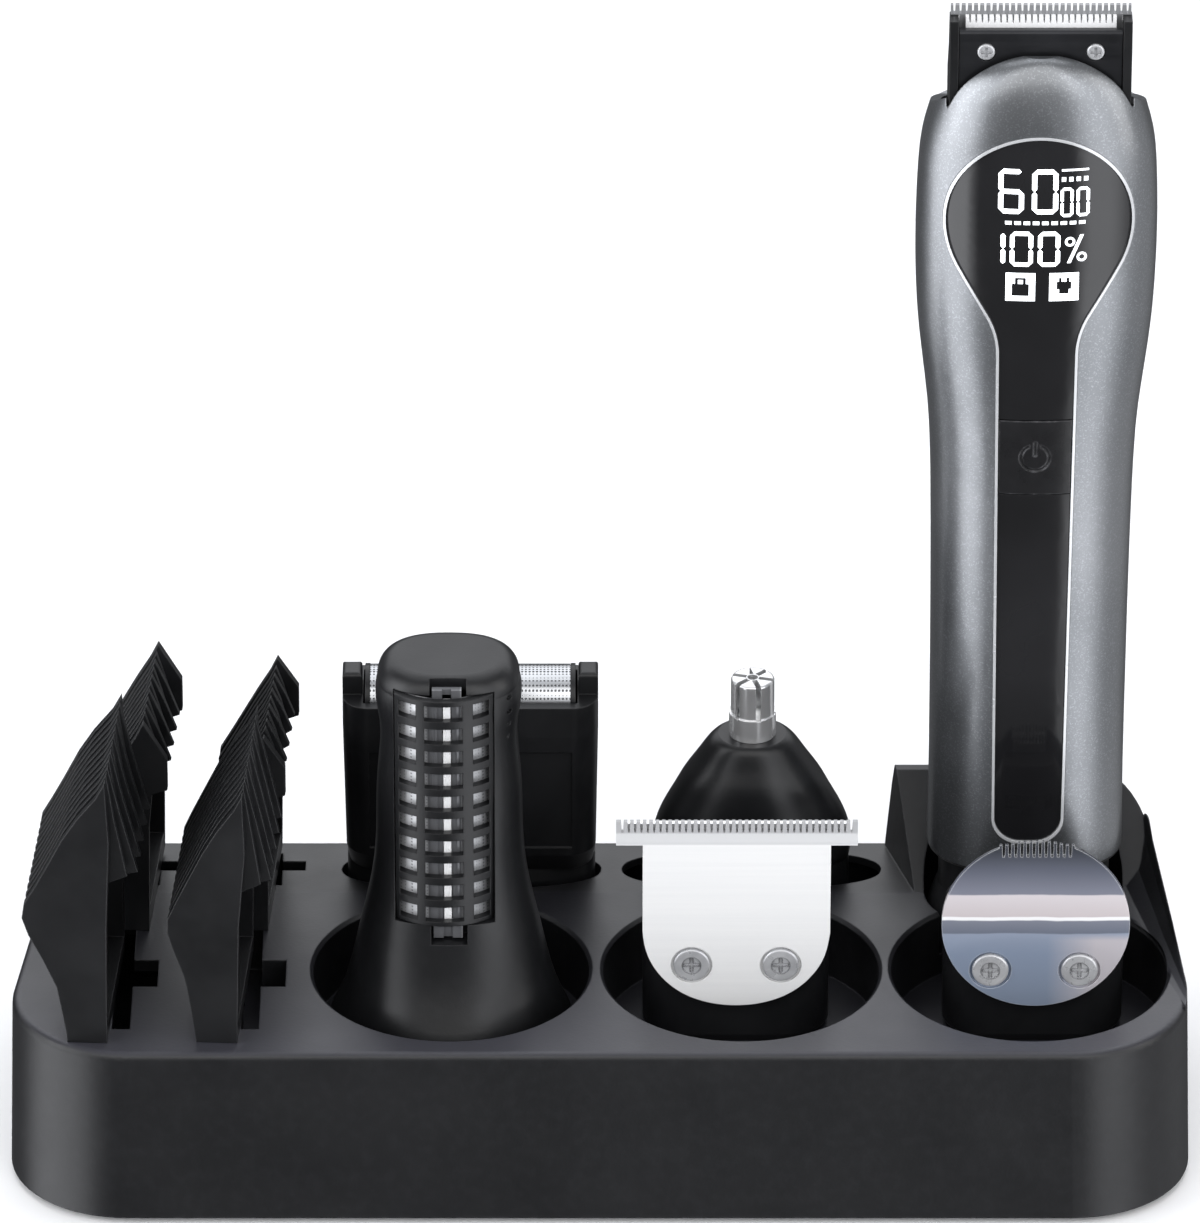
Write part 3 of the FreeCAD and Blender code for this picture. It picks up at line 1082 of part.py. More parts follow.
# Outlines are x, z. Side panel and tooth both start with the points of the back; sole is the x
# of the bar across the foot, left and right at its top, then left and right at its bottom.
COMBS = {
    "comb_front_left": dict(
        back=[(-80.8, 79.4), (-82.35, 76.5), (-85.5, 72.5), (-88.1, 68.4), (-90.7, 63.2),
              (-92.8, 59.2), (-94.5, 56.2)],
        panel=[(-94.9, 53.6), (-93.9, 50.4), (-91.7, 45.9), (-89.4, 40.5), (-88.3, 36.0),
               (-87.9, COMB_FOOT_Z), (-81.3, COMB_FOOT_Z), (-81.0, 52.0), (-80.3, 68.0)],
        tooth=[(-94.4, 53.0), (-92.4, 48.4), (-89.6, 48.4), (-85.4, 55.5), (-82.6, 58.2),
               (-76.2, 59.7), (-78.9, 70.5)],
        web=[(-92.9, 49.8), (-91.7, 45.9), (-89.4, 40.5), (-88.1, 32.4), (-85.8, 32.4),
             (-86.2, 40.5), (-88.2, 46.0), (-89.8, 49.8)],
        sole=(-88.1, -81.2, -87.9, -81.3), trim=(1.5, 0.6), span=FRONT_Y,
        tab=(-84.7, -80.8) + FRONT_TAB, pivot_x=-84.5),
    "comb_front_right": dict(
        back=[(-58.4, 77.1), (-59.9, 74.2), (-62.8, 70.0), (-65.2, 65.8), (-67.6, 60.8),
              (-69.6, 56.6), (-71.0, 53.4)],
        panel=[(-71.1, 50.8), (-70.2, 47.6), (-68.6, 43.0), (-67.4, 38.0),
               (-66.6, COMB_FOOT_Z), (-59.8, COMB_FOOT_Z), (-59.3, 52.0), (-58.1, 66.0)],
        tooth=[(-70.8, 50.4), (-69.2, 46.6), (-66.8, 46.6), (-63.0, 53.0), (-60.6, 56.4),
               (-54.3, 58.2), (-56.5, 68.6)],
        web=[(-69.9, 47.8), (-68.4, 43.0), (-66.8, 32.4), (-64.6, 32.4), (-64.9, 41.0),
             (-66.6, 47.8)],
        sole=(-66.8, -59.7, -66.6, -59.8), trim=(1.5, 0.6), span=FRONT_Y,
        tab=(-63.4, -59.5) + FRONT_TAB, pivot_x=-63.0),
    "comb_rear_left": dict(
        back=[(-75.9, 69.9), (-77.2, 67.2), (-79.6, 63.2), (-81.9, 59.0), (-84.2, 54.8),
              (-86.4, 51.0)],
        panel=[(-86.6, 49.0), (-85.6, 46.2), (-83.9, 42.4), (-82.5, 38.2),
               (-81.9, COMB_FOOT_Z), (-75.5, COMB_FOOT_Z), (-75.2, 50.0), (-74.6, 56.4),
               (-72.0, 57.4), (-72.0, 63.2)],
        tooth=[(-86.3, 48.2), (-84.6, 44.4), (-82.0, 44.4), (-79.0, 50.6), (-77.4, 57.6),
               (-71.9, 59.7), (-73.9, 65.3)],
        web=[(-85.4, 45.8), (-83.9, 42.4), (-82.4, 37.0), (-82.1, 32.4), (-79.8, 32.4),
             (-80.2, 38.6), (-82.2, 45.8)],
        sole=(-82.1, -75.5, -81.9, -75.5), trim=(1.3, 0.5), span=REAR_Y,
        tab=(-80.5, -76.9) + REAR_TAB, pivot_x=-79.0),
    "comb_rear_right": dict(
        back=[(-55.9, 67.2), (-57.1, 64.6), (-59.4, 60.7), (-61.6, 56.7), (-63.8, 52.7),
              (-65.8, 49.2)],
        panel=[(-66.0, 47.2), (-65.1, 44.6), (-63.6, 41.2), (-62.4, 37.4),
               (-61.9, COMB_FOOT_Z), (-55.6, COMB_FOOT_Z), (-55.3, 48.4), (-54.8, 55.4),
               (-52.4, 56.4), (-52.4, 61.8)],
        tooth=[(-65.7, 46.6), (-64.2, 43.0), (-61.8, 43.0), (-58.9, 49.0), (-57.2, 56.6),
               (-52.6, 59.6), (-54.1, 63.6)],
        web=[(-65.0, 44.4), (-63.6, 41.2), (-62.4, 37.0), (-62.1, 32.4), (-59.8, 32.4),
             (-60.2, 38.2), (-61.9, 44.4)],
        sole=(-62.1, -55.6, -61.9, -55.6), trim=(1.1, 0.4), span=REAR_Y,
        tab=(-60.4, -56.8) + REAR_TAB, pivot_x=-59.0),
}


def guide_comb(back, panel, tooth, web, sole, trim, span, tab, pivot_x):
    """Side panels and a rank of teeth, every second one trimmed, turned a little on its foot."""
    y0, y1 = span
    comb = plate_xz(back + panel, y0, y0 + COMB_WALL).fuse(
        plate_xz(back + panel, y1 - COMB_WALL, y1))
    long_tooth = back + tooth
    dx, dz = trim
    (heel_x, heel_z), (toe_x, toe_z) = tooth[-2:]
    short_tooth = long_tooth[:-2] + [(heel_x - dx, heel_z + dz), (toe_x - dx * 0.45, toe_z)]
    count = int((y1 - y0 - 2 * COMB_WALL - 1.2) / COMB_PITCH)
    start = (y0 + y1) / 2 - (count - 1) * COMB_PITCH / 2
    for i in range(count):
        y = start + i * COMB_PITCH
        outline = long_tooth if i % 2 else short_tooth
        comb = comb.fuse(plate_xz(outline, y - COMB_TOOTH / 2, y + COMB_TOOTH / 2))
    bar = list(zip((sole[0], sole[2], sole[3], sole[1]), (33.4, COMB_FOOT_Z, COMB_FOOT_Z, 33.4)))
    for outline in (web, bar):
        comb = comb.fuse(plate_xz(outline, y0, y1))
    comb.rotate(Vector(pivot_x, y0, 0), Vector(0, 0, 1), -COMB_TURN)
    return comb.fuse(box(*tab)).removeSplitter()


# ---------------------------------------------------------------- write
# each file is named after the function that builds the piece
PIECES = [
    stand_tray, stand_base_cover, stand_feet, stand_screws,
    front_housing, rear_housing, housing_screws, inlay_trim, display_lens, lower_inlay,
    power_button, bottom_cap, charge_socket, battery_cell, battery_contacts, motor_can,
    motor_shaft, eccentric_cam, chassis, main_pcb, tact_switch, display_module, neck_collar,
    neck_seal,
    trim_head_body, trim_fixed_blade, trim_blade_clamp, trim_blade_screws, trim_moving_blade,
    trim_yoke, trim_spring,
    t_head_body, t_fixed_blade, t_blade_screws, t_moving_blade, t_yoke, t_spring,
    detail_head_body, detail_fixed_blade, detail_blade_screws, detail_moving_blade,
    detail_yoke, detail_spring,
    nose_head_body, nose_guard_tube, nose_cutter,
    shaver_head_body, foil_frame, foil_screen, foil_springs, shaver_cutter, shaver_yoke,
    groomer_head_body, groomer_guard, groomer_foil, groomer_blade,
]
for build in PIECES:
    export(build.__name__, build())
for name, shape_data in COMBS.items():
    export(name, guide_comb(**shape_data))
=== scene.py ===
"""A cordless grooming kit: a handset with a lit display, its cutting heads and a stand.

Metres, +Z up. The front faces -Y, towards the camera, and +X is to the camera's right.
This script gives them materials, adds the lit shapes on the display lens, and sets up the
camera, the lights, the world and the floor.
"""
import json
import math

import bmesh
import bpy
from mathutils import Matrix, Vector
from mathutils.bvhtree import BVHTree


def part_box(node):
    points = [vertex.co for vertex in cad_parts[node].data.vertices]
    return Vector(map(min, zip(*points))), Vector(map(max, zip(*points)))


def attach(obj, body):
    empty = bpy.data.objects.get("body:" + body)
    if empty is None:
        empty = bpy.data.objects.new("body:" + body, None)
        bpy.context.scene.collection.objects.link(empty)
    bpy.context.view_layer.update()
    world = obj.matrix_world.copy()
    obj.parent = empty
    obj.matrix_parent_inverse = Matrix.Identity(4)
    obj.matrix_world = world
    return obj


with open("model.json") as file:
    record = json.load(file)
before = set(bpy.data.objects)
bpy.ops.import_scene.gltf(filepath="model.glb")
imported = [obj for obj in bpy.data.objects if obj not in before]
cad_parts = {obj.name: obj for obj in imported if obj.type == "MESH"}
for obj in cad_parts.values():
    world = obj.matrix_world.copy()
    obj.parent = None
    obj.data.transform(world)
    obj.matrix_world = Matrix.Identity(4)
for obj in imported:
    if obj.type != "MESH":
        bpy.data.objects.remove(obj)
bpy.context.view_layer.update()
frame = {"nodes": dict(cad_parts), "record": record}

MM = 0.001
scene = bpy.context.scene
nodes = frame["nodes"]
slot_of = {s["node"]: s["material_slot"] for s in frame["record"]["subparts"]}


# ------------------------------------------------------------------ node graphs
MIDDLE = (0.3, 0.7)  # the part of a noise's range that holds most of its values
UNIT = (0.0, 1.0)


class Graph:
    """Short names for building the node tree of a material or a world."""

    def __init__(self, owner):
        owner.use_nodes = True
        self.tree = owner.node_tree
        self.tree.nodes.clear()

    def node(self, kind, **settings):
        node = self.tree.nodes.new("ShaderNode" + kind)
        for key, value in settings.items():
            setattr(node, key, value)
        return node

    def link(self, source, socket):
        self.tree.links.new(source, socket)

    def put(self, socket, value):
        """Link a socket, or set a plain value; a colour of three numbers gets alpha 1."""
        if isinstance(value, bpy.types.NodeSocket):
            self.link(value, socket)
        elif isinstance(value, tuple) and len(value) == 3 and socket.type == "RGBA":
            socket.default_value = (*value, 1)
        else:
            socket.default_value = value

    def fill(self, node, values):
        for key, value in values.items():
            self.put(node.inputs[key], value)

    def math(self, operation, first, second=0.0):
        node = self.node("Math", operation=operation)
        self.put(node.inputs[0], first)
        self.put(node.inputs[1], second)
        return node.outputs[0]

    def times(self, first, second):
        return self.math("MULTIPLY", first, second)

    def plus(self, first, second):
        return self.math("ADD", first, second)

    def ramp(self, value, span=MIDDLE, to=UNIT, smooth=False):
        """Map span onto to, held at both ends."""
        kind = "SMOOTHSTEP" if smooth else "LINEAR"
        node = self.node("MapRange", interpolation_type=kind)
        self.fill(node, {
            "Value": value,
            "From Min": span[0], "From Max": span[1],
            "To Min": to[0], "To Max": to[1],
        })
        return node.outputs[0]

    def split(self, kind, source):
        """The channels of a vector (kind XYZ) or of a colour (kind Color)."""
        node = self.node("Separate" + kind)
        self.link(source, node.inputs[0])
        return node.outputs


class Surface(Graph):
    """A new material with one Principled shader, textured in object space."""

    def __init__(self, name):
        self.material = bpy.data.materials.new(name)
        super().__init__(self.material)
        output = self.node("OutputMaterial")
        self.shader = self.node("BsdfPrincipled")
        self.link(self.shader.outputs[0], output.inputs[0])
        self.place = self.node("TexCoord").outputs["Object"]

    def finish(self, values):
        """Set the shader's inputs by name and return the material."""
        self.fill(self.shader, values)
        return self.material

    def mapped(self, scale=(1, 1, 1), turn=(0, 0, 0)):
        node = self.node("Mapping")
        self.fill(node, {"Vector": self.place})
        node.inputs["Scale"].default_value = scale
        node.inputs["Rotation"].default_value = turn
        return node.outputs[0]

    def noise(self, scale=1.0, detail=3.0, rough=0.5, stretch=None, turn=(0, 0, 0),
              distortion=0.0):
        node = self.node("TexNoise")
        self.fill(node, {
            "Vector": self.mapped(stretch, turn) if stretch else self.place,
            "Scale": scale, "Detail": detail, "Roughness": rough, "Distortion": distortion,
        })
        return node.outputs["Fac"]

    def patches(self, span=MIDDLE, to=UNIT, **noise):
        """Noise with its contrast set by span."""
        return self.ramp(self.noise(**noise), span, to)

    def voronoi(self, scale, vector=None, output="Distance", randomness=1.0):
        node = self.node("TexVoronoi", feature="F1")
        self.fill(node, {
            "Vector": vector or self.place, "Scale": scale, "Randomness": randomness,
        })
        return node.outputs[output]

    def hole_grid(self):
        """Distance from the nearest hole's centre, in pitches, on a regular grid."""
        return self.voronoi(scale=1.0 / HOLE_PITCH, vector=self.mapped(), randomness=0.0)

    def mix(self, factor, first, second, amount=None):
        """From the first colour to the second; amount, if given, scales the factor."""
        if amount is not None:
            factor = self.times(factor, amount)
        node = self.node("Mix", data_type="RGBA")
        self.put(node.inputs["Factor"], factor)
        for key, colour in (("A", first), ("B", second)):
            if isinstance(colour, tuple):
                colour = (*colour, 1)
            self.put(node.inputs[key], colour)
        return node.outputs["Result"]

    def weighted(self, first, second):
        """The sum of two (value, weight) pairs."""
        return self.plus(self.times(*first), self.times(*second))

    def bevel(self, radius):
        node = self.node("Bevel", samples=4)
        node.inputs["Radius"].default_value = radius
        return node.outputs[0]

    def edges(self, radius):
        """1 along convex and concave edges within radius, 0 elsewhere."""
        dot = self.node("VectorMath", operation="DOT_PRODUCT")
        self.link(self.bevel(radius), dot.inputs[0])
        self.link(self.node("NewGeometry").outputs["Normal"], dot.inputs[1])
        return self.ramp(dot.outputs["Value"], span=(0.995, 0.86))

    def worn_and_highlit_edges(self, radius, **patches):
        """Edges broken up by noise."""
        return self.times(self.edges(radius), self.patches(**patches))

    def bump(self, height, strength, distance, bevel=None):
        node = self.node("Bump")
        self.fill(node, {"Strength": strength, "Distance": distance, "Height": height})
        if bevel is not None:
            self.link(self.bevel(bevel), node.inputs["Normal"])
        return node.outputs[0]

    def axis(self, index):
        return self.split("XYZ", self.place)[index]


# ------------------------------------------------------------------ shared materials
HOLE_PITCH = 0.62 * MM  # between the holes of the perforated sheets
# noise scales that draw long lines along one axis
BRUSHED = {"x": (14, 900, 900), "y": (900, 14, 900), "z": (900, 900, 14)}


def scaled(colour, factor, lift=0.0):
    return tuple(min(1.0, c * factor + lift) for c in colour)


def plastic(name, base, rough, spec, grain=1.0, grain_size=2200.0, coat=0.0,
            bevel=0.00025, edge_wear_and_highlight_amount=0.35, edge=None):
    """Grained plastic: clouded colour, edges lightened by scuffing and painted highlight, and
    smudged gloss.
    """
    smudge = 0.12  # share by which the roughness varies
    surface = Surface(name)
    lighter = scaled(base, 1.35, lift=0.004)
    colour = surface.mix(surface.patches(scale=38.0, detail=4.0), scaled(base, 0.72), lighter)
    fine = surface.patches(scale=420.0, span=(0.4, 0.75))
    colour = surface.mix(fine, colour, lighter, amount=0.35)
    # painted highlight and scuffing: edges lightened, broken up by noise
    edge_wear_and_highlight = surface.worn_and_highlit_edges(bevel * 1.5, scale=700.0, detail=2.0, span=(0.35, 0.7))
    colour = surface.mix(edge_wear_and_highlight, colour, edge or scaled(base, 2.6, lift=0.02), amount=edge_wear_and_highlight_amount)
    gloss = surface.patches(
        scale=95.0, detail=5.0, rough=0.6, span=(0.25, 0.75),
        to=(rough - smudge * rough, rough + smudge * 1.6 * rough))
    height = surface.weighted(
        (surface.voronoi(scale=grain_size), 0.6),
        (surface.noise(scale=grain_size * 0.6, detail=2.0), 0.5))
    return surface.finish({
        "Base Color": colour,
        "Roughness": surface.plus(gloss, surface.times(edge_wear_and_highlight, 0.08)),
        "Specular IOR Level": spec,
        "Coat Weight": coat,
        "Coat Roughness": 0.12,
        "Normal": surface.bump(height, strength=0.22 * grain, distance=0.00004, bevel=bevel),
    })


def metal(name, base, rough, brushed=None, brush_strength=0.2, scratch=0.3, bevel=0.00012,
          coat=0.0, variation=0.12, metallic=1.0):
    """Metal with brushing along an axis, or fine mottling, and sparse hair scratches."""
    surface = Surface(name)
    dark = tuple(c * (1 - variation * 1.6) for c in base)
    colour = surface.mix(surface.patches(scale=60.0, detail=4.0), dark, base)
    if brushed:
        lines = surface.noise(detail=4.0, rough=0.65, stretch=BRUSHED[brushed])
    else:
        lines = surface.noise(scale=900.0, rough=0.6)
    colour = surface.mix(surface.ramp(lines, span=(0.35, 0.65)), colour, dark, amount=variation)
    # painted highlight: edges lightened
    edge = scaled(base, 1.15, lift=0.03)
    colour = surface.mix(surface.edges(bevel * 1.6), colour, edge, amount=0.3)
    smears = surface.patches(
        scale=170.0, detail=5.0, rough=0.65, span=(0.45, 0.8), to=(0.0, 0.1 * (1 + scratch)))
    gloss = surface.ramp(lines, to=(rough * 0.8, rough * 1.25))
    hairs = surface.patches(
        detail=2.0, rough=0.6, stretch=(90, 1500, 260), turn=(0.2, 0.5, 0.1),
        distortion=0.4, span=(0.66, 0.72))
    height = surface.weighted((lines, brush_strength), (hairs, 0.1 * scratch))
    return surface.finish({
        "Base Color": colour,
        "Metallic": metallic,
        "Roughness": surface.plus(gloss, smears),
        "Coat Weight": coat,
        "Normal": surface.bump(height, strength=0.35, distance=0.00002, bevel=bevel),
    })


def gunmetal(name):
    """Metallic lacquer: fine bright flakes under a smooth clear coat."""
    surface = Surface(name)
    colour = surface.mix(
        surface.patches(scale=24.0, detail=4.0, rough=0.55),
        (0.155, 0.163, 0.172), (0.205, 0.212, 0.222))
    cells = surface.split("Color", surface.voronoi(scale=5200.0, output="Color"))
    flakes = surface.ramp(cells[0], span=(0.72, 1.0))
    colour = surface.mix(flakes, colour, (0.36, 0.37, 0.39), amount=0.4)
    # scuffing and painted highlight: edges lightened, broken up by noise
    edge_wear_and_highlight = surface.worn_and_highlit_edges(0.0004, scale=600.0, detail=2.0, span=(0.4, 0.7))
    height = surface.weighted((cells[1], 0.5), (surface.noise(scale=1500.0), 0.6))
    return surface.finish({
        "Base Color": surface.mix(edge_wear_and_highlight, colour, (0.5, 0.5, 0.51), amount=0.35),
        "Metallic": 0.88,
        "Roughness": surface.patches(
            scale=75.0, detail=5.0, rough=0.6, span=(0.3, 0.75), to=(0.31, 0.4)),
        "Coat Weight": 0.35,
        "Coat Roughness": surface.patches(
            scale=55.0, detail=5.0, rough=0.65, span=(0.35, 0.75), to=(0.1, 0.24)),
        "Normal": surface.bump(height, strength=0.16, distance=0.00003, bevel=0.00025),
    })


def piano_black(name):
    """Glossy black with long smears and specks of dust."""
    base = (0.0095, 0.0095, 0.0105)
    surface = Surface(name)
    smear = surface.noise(
        scale=70.0, detail=5.0, rough=0.7, stretch=(1.0, 1.0, 0.35), turn=(0.0, 0.5, 0.0),
        distortion=1.2)
    dust = surface.ramp(surface.voronoi(scale=1500.0), span=(0.0, 0.08), to=(0.35, 0.0))
    gloss = surface.ramp(smear, span=(0.42, 0.78), to=(0.12, 0.25))
    ripple = surface.noise(scale=260.0, detail=2.0)
    return surface.finish({
        "Base Color": surface.mix(
            surface.patches(scale=30.0), scaled(base, 0.7), scaled(base, 1.5)),
        "Roughness": surface.plus(gloss, surface.times(dust, 0.4)),
        "Specular IOR Level": 0.34,
        "Coat Weight": 0.3,
        "Coat Roughness": surface.ramp(smear, span=(0.4, 0.8), to=(0.03, 0.09)),
        "Normal": surface.bump(ripple, strength=0.05, distance=0.00004, bevel=0.00015),
    })


def stand_plastic(name):
    """Satin black moulding, shinier on top than on its walls, and painted bluer and lighter on
    top as sheen.
    """
    surface = Surface(name)
    facing = surface.split("XYZ", surface.node("NewGeometry").outputs["Normal"])
    sheen_on_top = surface.ramp(facing[2], span=(0.55, 0.98))
    y = surface.axis(1)
    cloud = surface.patches(scale=22.0, detail=4.0, rough=0.55)
    # painted sheen and shade: the top faces lighten towards the front, first at a sharp change
    # from the darker rear strip, then in a slow fade
    rear_strip_shade = surface.ramp(y, span=(0.0178, 0.0172))
    deck_with_sheen = surface.mix(rear_strip_shade, (0.0095, 0.0095, 0.0105), (0.013, 0.013, 0.0165))
    fade = surface.ramp(y, span=(0.002, -0.036))
    deck_with_sheen = surface.mix(fade, deck_with_sheen, (0.040, 0.040, 0.050), amount=0.9)
    deck_with_sheen = surface.mix(cloud, deck_with_sheen, (0.024, 0.024, 0.029), amount=0.2)
    wall = surface.mix(cloud, (0.0062, 0.0064, 0.0072), (0.0085, 0.0087, 0.0097))
    # painted sheen: faces that look up take the lighter, bluer top colour
    colour = surface.mix(sheen_on_top, wall, deck_with_sheen)
    specks = surface.patches(scale=520.0, span=(0.45, 0.8))
    colour = surface.mix(specks, colour, (0.022, 0.022, 0.025), amount=0.2)
    # painted highlight and scuffing: edges and well rims lightened, broken up by noise
    edge_wear_and_highlight = surface.worn_and_highlit_edges(0.0006, scale=450.0)
    height = surface.weighted(
        (surface.voronoi(scale=1700.0), 0.6), (surface.noise(scale=1100.0), 0.6))
    return surface.finish({
        "Base Color": surface.mix(edge_wear_and_highlight, colour, (0.09, 0.09, 0.10), amount=0.4),
        "Roughness": surface.patches(
            scale=60.0, detail=5.0, rough=0.62, span=(0.25, 0.8), to=(0.34, 0.46)),
        "Specular IOR Level": surface.ramp(facing[2], span=(0.5, 0.98), to=(0.32, 0.55)),
        "Normal": surface.bump(height, strength=0.22, distance=0.00005, bevel=0.0004),
    })


def foil_metal(name):
    """Thin steel sheet with rows of small round holes, drawn dark as painted shade."""
    surface = Surface(name)
    # painted shade: the holes are dark
    hole_shade = surface.ramp(surface.hole_grid(), span=(0.30, 0.36), to=(1.0, 0.0))
    lines = surface.noise(rough=0.6, stretch=(30, 800, 800))
    colour = surface.mix(surface.ramp(lines), (0.42, 0.43, 0.445), (0.6, 0.61, 0.63))
    height = surface.math("SUBTRACT", 1.0, hole_shade)
    return surface.finish({
        "Base Color": surface.mix(hole_shade, colour, (0.03, 0.03, 0.032), amount=0.9),
        "Metallic": surface.ramp(hole_shade, span=UNIT, to=(1.0, 0.4)),
        "Roughness": surface.ramp(lines, to=(0.2, 0.34)),
        "Normal": surface.bump(height, strength=0.6, distance=0.00006),
    })


def rubber(name):
    surface = Surface(name)
    cloud = surface.patches(scale=120.0, detail=4.0)
    grain = surface.voronoi(scale=3200.0)
    return surface.finish({
        "Base Color": surface.mix(cloud, (0.016, 0.016, 0.017), (0.034, 0.034, 0.035)),
        "Roughness": surface.patches(scale=300.0, to=(0.7, 0.9)),
        "Specular IOR Level": 0.3,
        "Normal": surface.bump(grain, strength=0.35, distance=0.00006, bevel=0.0003),
    })


def circuit_board(name):
    """Green board with a brick pattern as its traces."""
    surface = Surface(name)
    traces = surface.node("TexBrick")
    surface.fill(traces, {
        "Vector": surface.mapped(turn=(math.pi / 2, 0, 0)),
        "Scale": 420.0, "Mortar Size": 0.03,
        "Color1": (0.012, 0.07, 0.035), "Color2": (0.01, 0.05, 0.028),
        "Mortar": (0.04, 0.16, 0.07),
    })
    cloud = surface.patches(scale=300.0, span=(0.5, 0.7))
    return surface.finish({
        "Base Color": surface.mix(
            cloud, traces.outputs["Color"], (0.03, 0.12, 0.06), amount=0.3),
        "Roughness": surface.patches(scale=200.0, to=(0.28, 0.42)),
        "Normal": surface.bump(
            traces.outputs["Fac"], strength=0.3, distance=0.00003, bevel=0.0001),
    })


def glow(name, strength):
    """Lit display segment: nearly even, faintly mottled light."""
    surface = Surface(name)
    light = surface.patches(scale=900.0, detail=2.0, to=(0.88, 1.05))
    ripple = surface.noise(scale=1200.0, detail=2.0)
    return surface.finish({
        "Base Color": surface.mix(light, (0.7, 0.72, 0.75), (0.9, 0.92, 0.95)),
        "Roughness": surface.patches(scale=500.0, detail=2.0, to=(0.25, 0.35)),
        "Emission Color": (0.93, 0.97, 1.0),
        "Emission Strength": surface.times(light, strength),
        "Normal": surface.bump(ripple, strength=0.05, distance=0.00002),
    })


# ------------------------------------------------------------------ materials of one piece
def middle_x(node):
    low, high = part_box(node)
    return (low.x + high.x) / 2


def satin_plate(name):
    """Bead-blasted bright steel: nearly white, with faint cross brushing."""
    surface = Surface(name)
    lines = surface.noise(detail=4.0, rough=0.65, stretch=BRUSHED["x"])
    colour = surface.mix(
        surface.ramp(lines, span=(0.35, 0.65)),
        (0.74, 0.74, 0.737), (0.64, 0.644, 0.65), amount=0.3)
    cloud = surface.patches(scale=60.0, detail=4.0, span=(0.45, 0.8))
    colour = surface.mix(cloud, colour, (0.68, 0.69, 0.71), amount=0.2)
    # the cutting bar is ground, and painted darker than the plate as the shade on its bevel;
    # the tips darker again
    z = surface.axis(2)
    bar = surface.ramp(z, span=(0.05885, 0.05905), to=(0.0, 0.8))
    colour = surface.mix(bar, colour, (0.50, 0.505, 0.515))
    tips = surface.ramp(z, span=(0.0608, 0.0612), to=(0.0, 0.6))
    height = surface.weighted((lines, 0.3), (surface.noise(scale=1800.0, detail=2.0), 0.4))
    return surface.finish({
        "Base Color": surface.mix(tips, colour, (0.24, 0.24, 0.25)),
        "Metallic": 0.12,
        "Roughness": surface.ramp(lines, to=(0.34, 0.46)),
        "Normal": surface.bump(height, strength=0.3, distance=0.00002, bevel=0.00012),
    })


def screw_head(name):
    """Bright screw head, painted dark in its recess and round its rim as shade."""
    surface = Surface(name)
    steel = surface.mix(
        surface.patches(scale=300.0, detail=4.0), (0.42, 0.425, 0.44), (0.58, 0.585, 0.6))
    lines = surface.noise(rough=0.6, stretch=(900, 900, 60))
    return surface.finish({
        # painted shade: dark in the recess and round the rim
        "Base Color": surface.mix(
            surface.edges(0.0003), steel, (0.02, 0.02, 0.022), amount=0.95),
        "Metallic": 0.4,
        "Roughness": surface.patches(scale=500.0, to=(0.22, 0.4)),
        "Normal": surface.bump(lines, strength=0.15, distance=0.00002, bevel=0.00012),
    })


def groomer_steel(name):
    """Perforated sheet, painted lighter on the left and darker on the right as light and shade,
    with holes painted dark as shade and a plain darker strip down its middle.
    """
    middle = middle_x("groomer_foil")
    surface = Surface(name)
    x = surface.axis(0)
    off_centre = surface.math("ABSOLUTE", surface.math("SUBTRACT", x, middle))
    strip = surface.ramp(off_centre, span=(0.0026, 0.0029), to=(1.0, 0.0))
    hole_shade = surface.times(
        surface.ramp(surface.hole_grid(), span=(0.26, 0.32), to=(0.6, 0.0)),
        surface.math("SUBTRACT", 1.0, strip))
    lines = surface.noise(rough=0.6, stretch=(800, 800, 30))
    # painted light and shade: lighter on the left, darker on the right
    colour = surface.mix(
        surface.ramp(x, span=(middle - 0.002, middle + 0.002)),
        (0.62, 0.625, 0.64), (0.30, 0.305, 0.315))
    colour = surface.mix(surface.ramp(lines), colour, (0.2, 0.2, 0.21), amount=0.35)
    colour = surface.mix(hole_shade, colour, (0.03, 0.03, 0.032))
    height = surface.math("SUBTRACT", 1.0, hole_shade)
    return surface.finish({
        "Base Color": surface.mix(strip, colour, (0.13, 0.132, 0.14)),
        "Metallic": 0.45,
        "Roughness": surface.ramp(lines, to=(0.26, 0.4)),
        "Normal": surface.bump(height, strength=0.5, distance=0.00005),
    })


# painted reflections: height in millimetres, colour there
PAINTED_DISC_REFLECTIONS = [
    (28.0, (0.24, 0.29, 0.38)), (38.0, (0.26, 0.315, 0.42)),
    (41.8, (0.31, 0.36, 0.46)), (41.95, (0.17, 0.19, 0.245)),
    (44.35, (0.24, 0.255, 0.31)), (44.45, (0.99, 0.99, 1.0)),
    (45.0, (0.99, 0.99, 1.0)), (45.1, (0.64, 0.58, 0.595)),
    (49.1, (0.72, 0.675, 0.70)), (49.25, (0.24, 0.25, 0.31)),
    (53.5, (0.13, 0.14, 0.18)), (57.6, (0.045, 0.05, 0.062)),
]


